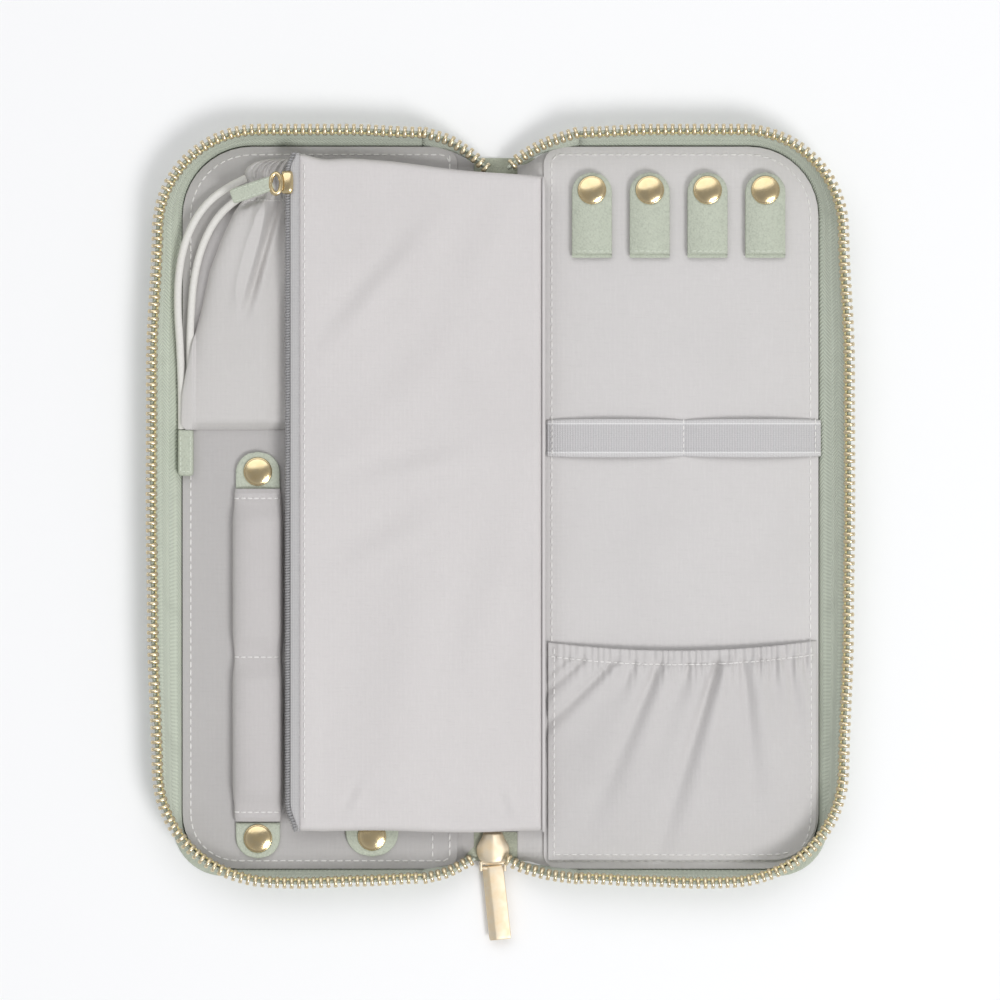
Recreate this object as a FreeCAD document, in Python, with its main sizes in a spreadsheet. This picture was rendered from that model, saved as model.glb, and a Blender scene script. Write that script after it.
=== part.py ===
import FreeCAD, Part
import math
import os
import Sketcher

# Zip-round travel jewellery case, lying open. Millimetres, +Z up.
# The origin is the middle of the spine, on the surface that the case lies on.
# +X is towards the necklace half, +Y towards the snap straps.

doc = FreeCAD.newDocument("jewelry_case")

# Driving sizes, one row each: name and millimetres, or a count or degrees where the name says so.
SIZES = (
    # Case shell
    ("case_thick", 28.0),
    ("cover_width", 95.7),
    ("cover_length", 246.0),
    ("cover_corner", 14.0),
    ("leather_thick", 1.2),
    ("board_thick", 1.3),
    ("lining_thick", 1.0),
    ("crease_gap", 0.2),
    ("panel_margin", 3.5),
    ("panel_spine_margin", 1.4),
    ("panel_corner", 11.0),
    ("board_inset", 1.5),
    ("spine_length", 236.0),
    ("spine_lining_thick", 0.8),
    ("spine_lining_inset", 1.6),
    # Zip round the case
    ("tape_thick", 0.8),
    ("tape_foot_gap", 0.5),
    ("tape_rise", 11.6),
    ("tape_splay_side", 7.0),
    ("tape_splay_end", 3.2),
    ("tape_top_corner", 33.0),
    ("tape_end", 26.0),
    ("tooth_pitch", 2.4),
    ("tooth_wide", 1.0),
    ("tooth_rise", 2.0),
    ("tooth_inside", 0.5),
    ("tooth_outside", 1.2),
    ("tail_lift", 2.6),
    ("tail_mid", 18.0),
    ("tail_end", 8.4),
    ("tail_end_rise", 2.4),
    ("tail_dip", 8.0),
    ("tail_clear", 0.6),
    # Slider of the case zip and its pull
    ("slider_x", -2.5),
    ("slider_long", 10.4),
    ("slider_wide", 10.9),
    ("slider_nose_wide", 6.6),
    ("slider_thick", 3.2),
    ("slider_base_gap", 0.3),
    ("slider_ridge", 0.5),
    ("patch_wide", 17.0),
    ("patch_long", 8.2),
    ("patch_thick", 0.4),
    ("pull_long", 24.6),
    ("pull_wide", 6.6),
    ("pull_thick", 2.2),
    ("pull_bevel", 0.7),
    ("pull_pin", 0.8),
    ("pull_slot_gap", 0.3),
    ("pull_tilt", 6.0),
    # Snap fasteners
    ("cap_radius", 4.75),
    ("cap_rim", 0.7),
    ("cap_dome", 1.1),
    ("stud_radius", 1.8),
    ("stud_clear", 0.3),
    # Four necklace straps
    ("strap_count", 4),
    ("strap_first_x", 30.2),
    ("strap_pitch", 19.1),
    ("strap_wide", 13.2),
    ("strap_fold_y", 82.6),
    ("strap_long", 27.3),
    ("strap_gap", 0.3),
    ("strap_bead", 0.9),
    ("snap_from_end", 5.9),
    # Elastic band and gathered pocket
    ("band_y", 22.1),
    ("band_wide", 12.6),
    ("band_thick", 0.9),
    ("band_arch", 1.6),
    ("band_seam", 3.0),
    ("band_middle_x", 59.3),
    ("pocket_top_y", -45.6),
    ("pocket_hem", 6.4),
    ("pocket_bottom_gap", 1.6),
    ("pocket_cloth", 0.9),
    ("pocket_depth", 5.0),
    ("pocket_side", 3.0),
    ("pocket_folds", 9),
    ("pocket_fold_high", 0.9),
    # Page with the zip pocket
    ("page_width", 80.0),
    ("page_top_left_y", 116.0),
    ("page_top_right_y", 108.0),
    ("page_bottom_y", -107.6),
    ("page_base", 7.0),
    ("page_thick", 4.6),
    ("page_cloth", 0.7),
    ("page_hem", 2.0),
    ("page_hinge_gap", 0.6),
    ("page_fold_from_seam", 18.0),
    ("page_fold_gap", 0.3),
    ("page_piping", 0.5),
    ("gusset_thick", 0.7),
    ("page_tape_wide", 2.9),
    ("coil_radius", 0.8),
    ("page_slider_long", 9.0),
    ("page_slider_wide", 5.6),
    ("page_slider_thick", 1.3),
    ("page_slider_y", 105.5),
    ("page_slider_clear", 0.15),
    ("ring_radius", 1.5),
    ("ring_wire", 0.45),
    ("tab_long", 12.5),
    ("tab_wide", 7.2),
    ("tab_thick", 1.4),
    ("tab_tilt", 14.0),
    # Ring bar
    ("bar_x", -80.2),
    ("bar_wide", 16.8),
    ("bar_top_y", 5.4),
    ("bar_long", 110.0),
    ("bar_high", 6.2),
    ("bar_seam_high", 3.6),
    ("bar_end_high", 2.6),
    ("bar_lift", 0.4),
    ("bar_end_seam", 3.2),
    ("bar_middle_seam", 55.6),
    ("bar_tab_wide", 14.6),
    ("bar_tab_long", 12.2),
    ("bar_tab_gap", 0.4),
    # Earring strap under the page
    ("earring_x", -42.5),
    ("earring_wide", 17.5),
    ("earring_long", 120.0),
    ("earring_end_y", -116.2),
    # Drawstring pouch
    ("pouch_left_x", -101.0),
    ("pouch_right_x", -34.0),
    ("pouch_bottom_y", 24.8),
    ("pouch_shoulder_y", 46.0),
    ("pouch_neck_x", -76.0),
    ("pouch_neck_wide", 13.0),
    ("pouch_neck_y", 104.0),
    ("pouch_ruffle_y", 114.5),
    ("pouch_ruffle_wide", 18.0),
    ("pouch_thick", 2.7),
    ("pouch_inset", 2.0),
    # Drawstring
    ("cord_diameter", 2.5),
    ("cord_tab_long", 15.4),
    ("cord_tab_wide", 5.0),
    ("cord_tab_thick", 3.6),
    ("cord_tab_x", -104.0),
    ("cord_tab_y", 25.0),
)

sheet = doc.addObject("Spreadsheet::Sheet", "sizes")
for row, (name, value) in enumerate(SIZES, start=1):
    sheet.set(f"A{row}", name)
    sheet.set(f"B{row}", str(value))
    sheet.setAlias(f"B{row}", name)
doc.recompute()


class Dim:
    """A size worked out from the sheet: its value, and the expression that ties a shape to it."""

    def __init__(self, value, text):
        self.value = float(value)
        self.text = text

    def __float__(self):
        return self.value

    def __int__(self):
        return round(self.value)

    def __neg__(self):
        return Dim(-self.value, f"(-1 * {self.text})")

    def __add__(self, other):
        other = dim(other)
        return Dim(self.value + other.value, f"({self.text} + {other.text})")

    def __sub__(self, other):
        other = dim(other)
        return Dim(self.value - other.value, f"({self.text} - {other.text})")

    def __mul__(self, other):
        other = dim(other)
        return Dim(self.value * other.value, f"({self.text} * {other.text})")

    def __truediv__(self, other):
        other = dim(other)
        return Dim(self.value / other.value, f"({self.text} / {other.text})")

    __radd__ = __add__
    __rmul__ = __mul__


def dim(number):
    """Any plain number as a Dim."""
    if isinstance(number, Dim):
        return number
    return Dim(number, f"({float(number)})")


class Sizes:
    """Every size of the sheet by its name."""

    def __init__(self, names):
        for name in names:
            setattr(self, name, Dim(sheet.get(name), f"sizes.{name}"))


size = Sizes([name for name, value in SIZES])
nodes = []


def keep(label, item):
    """Name a finished piece and put it on the list of pieces to write."""
    item.Label = label
    nodes.append(item)
    return item


def origin_plane(body, role):
    return next(item for item in body.Origin.OriginFeatures if item.Role == role)


def new_sketch(body, role, offset):
    """An empty sketch on one of the body's own planes, moved off along that plane's normal."""
    sketch = body.newObject("Sketcher::SketchObject", body.Name + "_sketch")
    sketch.AttachmentSupport = [(origin_plane(body, role), "")]
    sketch.MapMode = "FlatFace"
    sketch.setExpression("AttachmentOffset.Base.z", dim(offset).text)
    return sketch


def rounded(corners):
    """Outline vertices from square corners (x, y) or (x, y, radius)."""
    vertices = []
    for index, corner in enumerate(corners):
        x, y = dim(corner[0]), dim(corner[1])
        if len(corner) == 2:
            vertices.append((x, y, None))
            continue
        radius = dim(corner[2])
        before = corners[index - 1]
        after = corners[(index + 1) % len(corners)]
        ends = []
        for other in (before, after):
            dx = float(other[0]) - x.value
            dy = float(other[1]) - y.value
            if abs(dx) > abs(dy):
                ends.append((x + radius * math.copysign(1, dx), y, (math.copysign(1, dx), 0.0)))
            else:
                ends.append((x, y + radius * math.copysign(1, dy), (0.0, math.copysign(1, dy))))
        (ax, ay, a_way), (bx, by, b_way) = ends
        turn = 1 if a_way[0] * b_way[1] - a_way[1] * b_way[0] < 0 else -1
        vertices.append((ax, ay, (radius, turn)))
        vertices.append((bx, by, None))
    return vertices


def arc_centre(start, end, radius, turn):
    """Centre of the short arc from start to end; turn is 1 for anticlockwise."""
    chord = end - start
    middle = (start + end) * 0.5
    rise = math.sqrt(max(radius * radius - chord.Length * chord.Length / 4, 0.0))
    side = FreeCAD.Vector(-chord.y, chord.x, 0).normalize()
    return middle + side * (rise * turn)


def draw(sketch, vertices):
    """Close an outline through vertices (x, y, arc), where arc is None or the (radius, turn) that leaves."""
    points = [FreeCAD.Vector(float(x), float(y), 0) for x, y, arc in vertices]
    ends = []
    for index, (x, y, arc) in enumerate(vertices):
        start = points[index]
        end = points[(index + 1) % len(points)]
        if arc is None:
            geometry = sketch.addGeometry(Part.LineSegment(start, end), False)
            ends.append((geometry, 1, 2))
            continue
        radius, turn = dim(arc[0]), arc[1]
        centre = arc_centre(start, end, radius.value, turn)
        first, last = (start, end) if turn > 0 else (end, start)
        circle = Part.Circle(centre, FreeCAD.Vector(0, 0, 1), radius.value)
        begin = math.atan2(first.y - centre.y, first.x - centre.x)
        finish = math.atan2(last.y - centre.y, last.x - centre.x)
        if finish < begin:
            finish += 2 * math.pi
        geometry = sketch.addGeometry(Part.ArcOfCircle(circle, begin, finish), False)
        ends.append((geometry, 1, 2) if turn > 0 else (geometry, 2, 1))
        bind(sketch, Sketcher.Constraint("Radius", geometry, radius.value), radius)
    for index, (geometry, start, end) in enumerate(ends):
        follower, follower_start, follower_end = ends[(index + 1) % len(ends)]
        sketch.addConstraint(Sketcher.Constraint("Coincident", geometry, end, follower, follower_start))
        x, y, arc = vertices[index]
        bind(sketch, Sketcher.Constraint("DistanceX", -1, 1, geometry, start, float(x)), x)
        bind(sketch, Sketcher.Constraint("DistanceY", -1, 1, geometry, start, float(y)), y)


def bind(sketch, constraint, value):
    """Add a constraint and tie it to its size."""
    index = sketch.addConstraint(constraint)
    sketch.setExpression(f"Constraints[{index}]", dim(value).text)


def place(item, x, y, z):
    """Tie an item's place to the sheet."""
    item.setExpression("Placement.Base.x", dim(x).text)
    item.setExpression("Placement.Base.y", dim(y).text)
    item.setExpression("Placement.Base.z", dim(z).text)


def pad(body, sketch, length):
    feature = body.newObject("PartDesign::Pad", body.Name + "_pad")
    feature.Profile = sketch
    feature.setExpression("Length", dim(length).text)
    return feature


def flat(label, vertices, base, thick):
    """A flat piece with a cut outline, lying at height base."""
    body = doc.addObject("PartDesign::Body", label)
    sketch = new_sketch(body, "XY_Plane", base)
    draw(sketch, vertices)
    pad(body, sketch, thick)
    return body


def plate(label, corners, base, thick):
    """A flat piece with square or rounded corners."""
    return keep(label, flat(label, rounded(corners), base, thick))


def rod(label, radius, height, x, y, z, along=None):
    """A round bar that starts at a point and runs up, or along the axis given."""
    bar = doc.addObject("Part::Cylinder", label)
    bar.setExpression("Radius", dim(radius).text)
    bar.setExpression("Height", dim(height).text)
    if along is not None:
        bar.Placement.Rotation = FreeCAD.Rotation(FreeCAD.Vector(0, 0, 1), along)
    place(bar, x, y, z)
    return bar


def block(label, x, y, z, x_size, y_size, z_size):
    """A square block from its lowest corner."""
    box = doc.addObject("Part::Box", label)
    box.setExpression("Length", dim(x_size).text)
    box.setExpression("Width", dim(y_size).text)
    box.setExpression("Height", dim(z_size).text)
    place(box, x, y, z)
    return box


def cut(label, base, tool):
    """Take one shape out of another."""
    item = doc.addObject("Part::Cut", label)
    item.Base = base
    item.Tool = tool
    return item


def fuse(label, shapes):
    item = doc.addObject("Part::MultiFuse", label)
    item.Shapes = shapes
    return item


def oblong(x_low, x_high, y_low, y_high, low_radius=None, high_radius=None):
    """Corners of a rectangle, with its two ends along Y rounded or square."""
    low = () if low_radius is None else (low_radius,)
    high = () if high_radius is None else (high_radius,)
    return [(x_low, y_low) + low, (x_high, y_low) + low, (x_high, y_high) + high, (x_low, y_high) + high]


def loft(label, role, sections, ruled=True):
    """A solid through outlines on parallel planes; each section is (offset, vertices)."""
    body = doc.addObject("PartDesign::Body", label)
    sketches = []
    for offset, vertices in sections:
        sketch = new_sketch(body, role, offset)
        draw(sketch, vertices)
        sketches.append(sketch)
    feature = body.newObject("PartDesign::AdditiveLoft", body.Name + "_loft")
    feature.Profile = sketches[0]
    feature.Sections = sketches[1:]
    feature.Ruled = ruled
    return keep(label, body)


def turned(label, vertices):
    """A round piece: an outline in X and Z turned about the Z axis."""
    body = doc.addObject("PartDesign::Body", label)
    sketch = new_sketch(body, "XZ_Plane", 0)
    draw(sketch, vertices)
    feature = body.newObject("PartDesign::Revolution", body.Name + "_turn")
    feature.Profile = sketch
    feature.ReferenceAxis = (sketch, ["V_Axis"])
    feature.Angle = 360
    return keep(label, body)


def group(label, solids):
    """Several like solids that make one piece of trim."""
    item = doc.addObject("Part::Feature", label)
    item.Shape = Part.makeCompound(solids) if len(solids) > 1 else solids[0]
    return keep(label, item)


# Places that several pieces share
half_thick = size.case_thick / 2
spine_half = half_thick - size.leather_thick
cover_inner = spine_half + size.crease_gap / 2
cover_outer = spine_half + size.cover_width
cover_end = size.cover_length / 2
panel_inner = spine_half + size.panel_spine_margin
panel_outer = cover_outer - size.panel_margin
panel_end = cover_end - size.panel_margin
board_top = size.leather_thick + size.board_thick
panel_top = board_top + size.lining_thick
tape_top = size.leather_thick + size.tape_rise
foot_x = panel_outer + size.tape_foot_gap
foot_y = panel_end + size.tape_foot_gap
LEFT, RIGHT = -1, 1


def book_corners(side, inner, outer, end, radius):
    """Outline of one half of the case, square at the spine and rounded at its two outer corners."""
    return [(inner * side, -end), (outer * side, -end, radius), (outer * side, end, radius), (inner * side, end)]


def shell_half(name, side):
    """Leather cover, stiffening board and fabric lining of one half."""
    plate(f"{name}_cover", book_corners(side, cover_inner, cover_outer, cover_end, size.cover_corner),
          0, size.leather_thick)
    inset = size.board_inset
    board = book_corners(side, panel_inner + inset, panel_outer - inset, panel_end - inset,
                         size.panel_corner - inset)
    plate(f"{name}_board", board, size.leather_thick, size.board_thick)
    lining = book_corners(side, panel_inner, panel_outer, panel_end, size.panel_corner)
    plate(f"{name}_lining", lining, board_top, size.lining_thick)


def tape_outline(side, grow_x, grow_y, radius):
    """Section through the tape wall: a strip of even width round three sides of a half."""
    thick = size.tape_thick
    x_in, y_in = foot_x + grow_x, foot_y + grow_y
    x_out, y_out = x_in + thick, y_in + thick
    start = size.tape_end
    return rounded([
        (start * side, y_in), (x_in * side, y_in, radius), (x_in * side, -y_in, radius), (start * side, -y_in),
        (start * side, -y_out), (x_out * side, -y_out, radius + thick), (x_out * side, y_out, radius + thick),
        (start * side, y_out),
    ])


def zip_tape(name, side):
    """The tape stands on the cover round the panel and leans outwards, more at the side than at the ends."""
    loft(f"{name}_zip_tape", "XY_Plane", [
        (size.leather_thick, tape_outline(side, dim(0), dim(0), size.panel_corner + size.tape_foot_gap)),
        (tape_top, tape_outline(side, size.tape_splay_side, size.tape_splay_end, size.tape_top_corner)),
    ])


def tooth(x, y, z, heading, lean):
    """One zip tooth: a scoop that straddles the tape's edge and leans with it. Heading points outwards."""
    half_tape = size.tape_thick.value / 2
    inside = half_tape + size.tooth_inside.value
    outside = half_tape + size.tooth_outside.value
    rise = size.tooth_rise.value
    nose = rise * 0.3
    profile = [(-inside, 0), (half_tape, 0), (outside, nose), (outside, rise - nose), (-inside * 0.2, rise)]
    half = size.tooth_wide.value / 2
    points = [FreeCAD.Vector(out, -half, up) for out, up in profile]
    solid = Part.Face(Part.makePolygon(points + points[:1])).extrude(FreeCAD.Vector(0, 2 * half, 0))
    turn = FreeCAD.Rotation(FreeCAD.Vector(0, 0, 1), heading)
    tilt = FreeCAD.Rotation(FreeCAD.Vector(0, 1, 0), lean)
    solid.Placement = FreeCAD.Placement(FreeCAD.Vector(x, y, z), turn * tilt)
    return solid


def edge_path(side):
    """The tape's upper edge as a function: distance along it to x, y and the outward heading in degrees."""
    middle = size.tape_thick.value / 2
    x_edge = float(foot_x + size.tape_splay_side) + middle
    y_edge = float(foot_y + size.tape_splay_end) + middle
    radius = size.tape_top_corner.value + middle
    end_run = x_edge - radius - size.tape_end.value
    bend = radius * math.pi / 2
    side_run = 2 * (y_edge - radius)
    total = 2 * end_run + 2 * bend + side_run

    def at(distance):
        flip = 1
        if distance > total / 2:
            distance = total - distance
            flip = -1
        if distance < end_run:
            x, y, heading = size.tape_end.value + distance, y_edge, 90.0
        elif distance < end_run + bend:
            turn = math.pi / 2 - (distance - end_run) / radius
            x = x_edge - radius + radius * math.cos(turn)
            y = y_edge - radius + radius * math.sin(turn)
            heading = math.degrees(turn)
        else:
            x, y, heading = x_edge, y_edge - radius - (distance - end_run - bend), 0.0
        if side < 0:
            return -x, y * flip, 180.0 - heading * flip
        return x, y * flip, heading * flip

    return at, total


def zip_teeth(name, side):
    """A row of teeth along the tape. The two rows are half a pitch apart, so they mesh when the case shuts."""
    at, total = edge_path(side)
    count = round(total / size.tooth_pitch.value)
    step = total / count
    shift = 0.25 if side < 0 else 0.75
    solids = []
    for index in range(count):
        x, y, heading = at((index + shift) * step)
        solids.append(tooth(x, y, float(tape_top), heading, 0.0))
    group(f"{name}_zip_teeth", solids)


def tail_stations(side, end, last_x):
    """Foot and top of the tape where it runs down from the wall to the spine: (x, foot y, foot z, top y, top z)."""
    wall_foot = float(foot_y) + size.tape_thick.value / 2
    wall_top = wall_foot + size.tape_splay_end.value
    over_panel = float(panel_top) + size.tail_clear.value
    low_y = wall_foot - size.tail_dip.value
    start = (size.tape_end.value, wall_foot, size.leather_thick.value, wall_top, float(tape_top))
    middle_top = (float(tape_top) + over_panel + size.tail_lift.value) / 2
    middle = (size.tail_mid.value, wall_foot, over_panel, (wall_top + wall_foot) / 2, middle_top)
    finish = (last_x, low_y, over_panel - size.tail_clear.value / 2, low_y, over_panel + size.tail_end_rise.value)
    return [(x * side, fy * end, fz, ty * end, tz) for x, fy, fz, ty, tz in (start, middle, finish)]


def tail_tape(stations):
    """One tail of tape, ruled through its stations."""
    half = size.tape_thick.value / 2
    wires = []
    for x, foot_at, foot_z, top_at, top_z in stations:
        corners = [(foot_at - half, foot_z), (foot_at + half, foot_z), (top_at + half, top_z), (top_at - half, top_z)]
        points = [FreeCAD.Vector(x, y, z) for y, z in corners]
        wires.append(Part.makePolygon(points + points[:1]))
    return Part.makeLoft(wires, True, True)


def tail_teeth(stations):
    """Teeth down the upper edge of one tail."""
    tops = [FreeCAD.Vector(x, top_at, top_z) for x, foot_at, foot_z, top_at, top_z in stations]
    outward = math.copysign(1, tops[0].y)
    solids = []
    for start, end in zip(tops, tops[1:]):
        run = end - start
        count = max(1, round(run.Length / size.tooth_pitch.value))
        for index in range(count):
            spot = start + run * ((index + 0.5) / count)
            heading = math.degrees(math.atan2(run.y, run.x))
            heading += 90 if math.cos(math.radians(heading)) * outward > 0 else -90
            lift = size.tooth_wide.value * abs(run.z) / run.Length
            solids.append(tooth(spot.x, spot.y, spot.z + lift, heading, 0.0))
    return solids


def zip_tails(name, side):
    """Both ends of one tape: the upper one sewn to the spine, the lower one running into the slider."""
    slider_edge = size.slider_x.value * side + size.slider_wide.value / 2 + size.tail_clear.value
    upper = tail_stations(side, 1, size.tail_end.value)
    lower = tail_stations(side, -1, slider_edge)
    group(f"{name}_zip_tail_tapes", [tail_tape(upper), tail_tape(lower)])
    group(f"{name}_zip_tail_teeth", tail_teeth(upper) + tail_teeth(lower))


for half_name, half_side in (("left", LEFT), ("right", RIGHT)):
    shell_half(half_name, half_side)
    zip_tape(half_name, half_side)
    zip_teeth(half_name, half_side)
    zip_tails(half_name, half_side)

# Spine
spine_edge = spine_half - size.crease_gap / 2
spine_end = size.spine_length / 2
spine_top = size.leather_thick + size.spine_lining_thick
plate("spine_leather", oblong(-spine_edge, spine_edge, -spine_end, spine_end), 0, size.leather_thick)
lining_edge = spine_edge - size.spine_lining_inset
patch_top = spine_top + size.patch_thick
lining_end = spine_end - size.spine_lining_inset
plate("spine_lining", oblong(-lining_edge, lining_edge, -lining_end, lining_end),
      size.leather_thick, size.spine_lining_thick)

# Slider of the case zip, on a leather patch at the lower end of the spine
slider_top_y = size.page_bottom_y - size.slider_base_gap * 2
slider_low_y = slider_top_y - size.slider_long
patch_low = -lining_end
plate("zip_end_patch", oblong(size.slider_x - size.patch_wide / 2, size.slider_x + size.patch_wide / 2,
                              patch_low, patch_low + size.patch_long), spine_top, size.patch_thick)


SLIDER_NECK = 0.75
SLIDER_ROUND = 1.05
SLIDER_ROUND_DEPTH = SLIDER_ROUND - math.sqrt(SLIDER_ROUND ** 2 - 1)


def slider_outline(inset):
    """Seen from above: a narrow nose that swells into a round body."""
    nose = size.slider_nose_wide / 2 - inset
    wide = size.slider_wide / 2 - inset
    shoulder = slider_low_y + inset + wide * SLIDER_ROUND_DEPTH
    neck = slider_low_y + size.slider_long * SLIDER_NECK
    middle = size.slider_x
    return [
        (middle - nose, slider_top_y - inset, None), (middle - nose, neck, None),
        (middle - wide, shoulder, (wide * SLIDER_ROUND, 1)), (middle + wide, shoulder, None),
        (middle + nose, neck, None), (middle + nose, slider_top_y - inset, None),
    ]


slider_top = patch_top + size.slider_thick
loft("zip_slider", "XY_Plane", [
    (patch_top, slider_outline(dim(0))),
    (slider_top - size.slider_ridge, slider_outline(dim(0))),
    (slider_top, slider_outline(size.slider_ridge)),
])

# Two lugs and a pin at the slider's round end carry the pull
lug_wide = size.pull_pin
neck_wide = size.pull_wide / 2
lug_x = neck_wide / 2 + size.pull_slot_gap
pivot_gap = size.pull_pin * 2
pivot_y = slider_low_y - pivot_gap
pivot_z = patch_top + size.pull_thick / 2
lug_foot = size.pull_pin * 1.25
neck_reach = size.pull_pin * 2.5
lugs = [
    block(f"slider_lug_{index}", size.slider_x + start, pivot_y - lug_foot, pivot_z - size.pull_thick / 2,
          lug_wide, lug_foot + pivot_gap, size.pull_thick)
    for index, start in enumerate((-lug_x - lug_wide, lug_x))
]
pin_radius = size.pull_pin * 0.7
pin = rod("slider_pin", pin_radius, (lug_x + lug_wide) * 2, size.slider_x - lug_x - lug_wide, pivot_y, pivot_z,
          FreeCAD.Vector(1, 0, 0))
keep("slider_bridge", fuse("slider_bridge", lugs + [pin]))

# Pull: a bevelled bar whose narrow neck turns on the pin
pull = doc.addObject("PartDesign::Body", "pull_bar")
profile = new_sketch(pull, "XZ_Plane", neck_reach)
half_wide, half_high, bevel = size.pull_wide / 2, size.pull_thick / 2, size.pull_bevel
draw(profile, [(x, z, None) for x, z in (
    (-half_wide, -half_high), (half_wide, -half_high), (half_wide, half_high - bevel),
    (half_wide - bevel, half_high), (bevel - half_wide, half_high), (-half_wide, half_high - bevel))])
pad(pull, profile, size.pull_long - neck_reach - size.pull_pin)
neck = block("pull_neck", -neck_wide / 2, -neck_reach, -half_high,
             neck_wide, neck_reach + size.pull_pin, half_high * 2)
eye = rod("pull_eye", pin_radius + size.pull_slot_gap, neck_wide * 2, -neck_wide, 0, 0, FreeCAD.Vector(1, 0, 0))
main_pull = cut("main_pull", fuse("pull_blank", [pull, neck]), eye)
place(main_pull, size.slider_x, pivot_y, pivot_z)
main_pull.setExpression("Placement.Rotation.Angle", size.pull_tilt.text)
keep("main_pull", main_pull)


def snap_cap(label, x, y, z):
    """Domed metal cap of a snap fastener."""
    radius, rim, dome = size.cap_radius, size.cap_rim, size.cap_dome
    profile = ((0, 0), (radius, 0), (radius, rim), (radius * 0.6, rim + dome), (0, rim + dome))
    cap = turned(label, [(across, up, None) for across, up in profile])
    place(cap, x, y, z)


def holed(label, corners, base, thick, x, y):
    """A leather tab with the hole that a snap's stud goes into."""
    blank = flat(f"{label}_blank", rounded(corners), base, thick)
    hole = rod(f"{label}_hole", size.stud_radius + size.stud_clear, thick * 3, x, y, base - thick)
    keep(label, cut(label, blank, hole))


def stud(label, x, y, base, high):
    """Lower half of a snap fastener."""
    return rod(label, size.stud_radius, high, x, y, base)


# Four necklace straps: a strip doubled over at its lower end, its flap snapped to its back
round_end = size.strap_wide * 0.48
strap_top_y = size.strap_fold_y + size.strap_long
snap_y = strap_top_y - size.snap_from_end
back_top = panel_top + size.leather_thick
flap_base = back_top + size.strap_gap
flap_top = flap_base + size.leather_thick
studs = []
for index in range(int(size.strap_count)):
    number = index + 1
    x = size.strap_first_x + size.strap_pitch * index
    low, high = x - size.strap_wide / 2, x + size.strap_wide / 2
    back = flat(f"strap_back_{number}_strip",
                rounded(oblong(low, high, size.strap_fold_y, strap_top_y, None, round_end)),
                panel_top, size.leather_thick)
    bead = rod(f"strap_back_{number}_fold", size.strap_bead, size.strap_wide, low,
               size.strap_fold_y - size.strap_bead * 0.7, panel_top + size.strap_bead, FreeCAD.Vector(1, 0, 0))
    keep(f"strap_back_{number}", fuse(f"strap_back_{number}", [back, bead]))
    studs.append(stud(f"strap_stud_{number}", x, snap_y, back_top, size.strap_gap + size.leather_thick * 0.8))
    flap = oblong(low, high, size.strap_fold_y + size.strap_gap, strap_top_y, None, round_end)
    holed(f"strap_flap_{number}", flap, flap_base, size.leather_thick, x, snap_y)
    snap_cap(f"strap_cap_{number}", x, snap_y, flap_top)
all_studs = doc.addObject("Part::Compound", "strap_studs")
all_studs.Links = studs
keep("strap_studs", all_studs)

# Elastic band across the necklace half: sewn down at both ends and in the middle, bowed up between
band_left, band_right = panel_inner + size.panel_spine_margin, panel_outer - size.panel_spine_margin
band = doc.addObject("PartDesign::Body", "elastic_band")
profile = new_sketch(band, "XZ_Plane", -size.band_y - size.band_wide / 2)


def band_curve(heights):
    """The band's line from left to right: flat at its three seams, an arch between them."""
    seam, middle, rise = size.band_seam, size.band_middle_x, size.band_arch
    line = []
    for start, end in ((band_left, middle - seam / 2), (middle + seam / 2, band_right)):
        chord = end - start - seam
        radius = (chord * chord / 4 + rise * rise) / (rise * 2)
        line.append((start, heights, None))
        line.append((start + seam / 2, heights, (radius, -1)))
        line.append((end - seam / 2, heights, None))
        line.append((end, heights, None))
    return line


lower = band_curve(panel_top)
upper = band_curve(panel_top + size.band_thick)
back_line = [(x, z, None) for x, z, arc in reversed(upper)]
for index, (x, z, arc) in enumerate(upper):
    if arc is not None:
        spot = len(upper) - 2 - index
        back_line[spot] = (back_line[spot][0], back_line[spot][1], (arc[0], 1))
draw(profile, lower + back_line)
pad(band, profile, size.band_wide)
keep("elastic_band", band)


def pocket_section(y, depth, wave, thick, draw_in=0.0):
    """Section across the gathered pocket: sewn down at both sides, with a row of shallow folds between."""
    left = float(panel_inner + size.panel_spine_margin)
    right = float(panel_outer) - draw_in
    side, base = size.pocket_side.value, float(panel_top)
    folds = int(size.pocket_folds)
    crest = base + depth

    def ridge(offset, lift):
        start = left + side - offset
        stop = right - side + offset
        pace = (stop - start) / (2 * folds)
        heights = [crest + lift + (wave if index % 2 else 0.0) for index in range(2 * folds + 1)]
        return [FreeCAD.Vector(start + pace * index, y, z) for index, z in enumerate(heights)]

    inner = ridge(0.0, 0.0)
    outer = ridge(thick * 0.5, thick)
    points = [FreeCAD.Vector(left, y, base)] + outer + [FreeCAD.Vector(right, y, base)]
    points += [FreeCAD.Vector(right - thick, y, base)] + inner[::-1] + [FreeCAD.Vector(left + thick, y, base)]
    return Part.makePolygon(points + points[:1])


# Gathered pocket: its mouth stands open under the elastic hem and its cloth lies down towards the foot
mouth_y = size.pocket_top_y.value
hem_y = mouth_y - size.pocket_hem.value
low_y = -float(panel_end) + size.pocket_bottom_gap.value
belly_y = hem_y + (low_y - hem_y) * 0.55
cloth, wave = size.pocket_cloth.value, size.pocket_fold_high.value
depth = size.pocket_depth.value
hem_sections = [pocket_section(y, depth, wave, cloth) for y in (mouth_y, hem_y)]
group("pocket_elastic_hem", [Part.makeLoft(hem_sections, True, True)])
cloth_sections = [
    pocket_section(hem_y, depth, wave, cloth),
    pocket_section(belly_y, depth * 0.92, wave * 0.6, cloth),
    pocket_section(low_y, cloth * 0.4, wave * 0.2, cloth, size.panel_corner.value * 0.6),
]
group("gathered_pocket", [Part.makeLoft(cloth_sections, True, True)])

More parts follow.
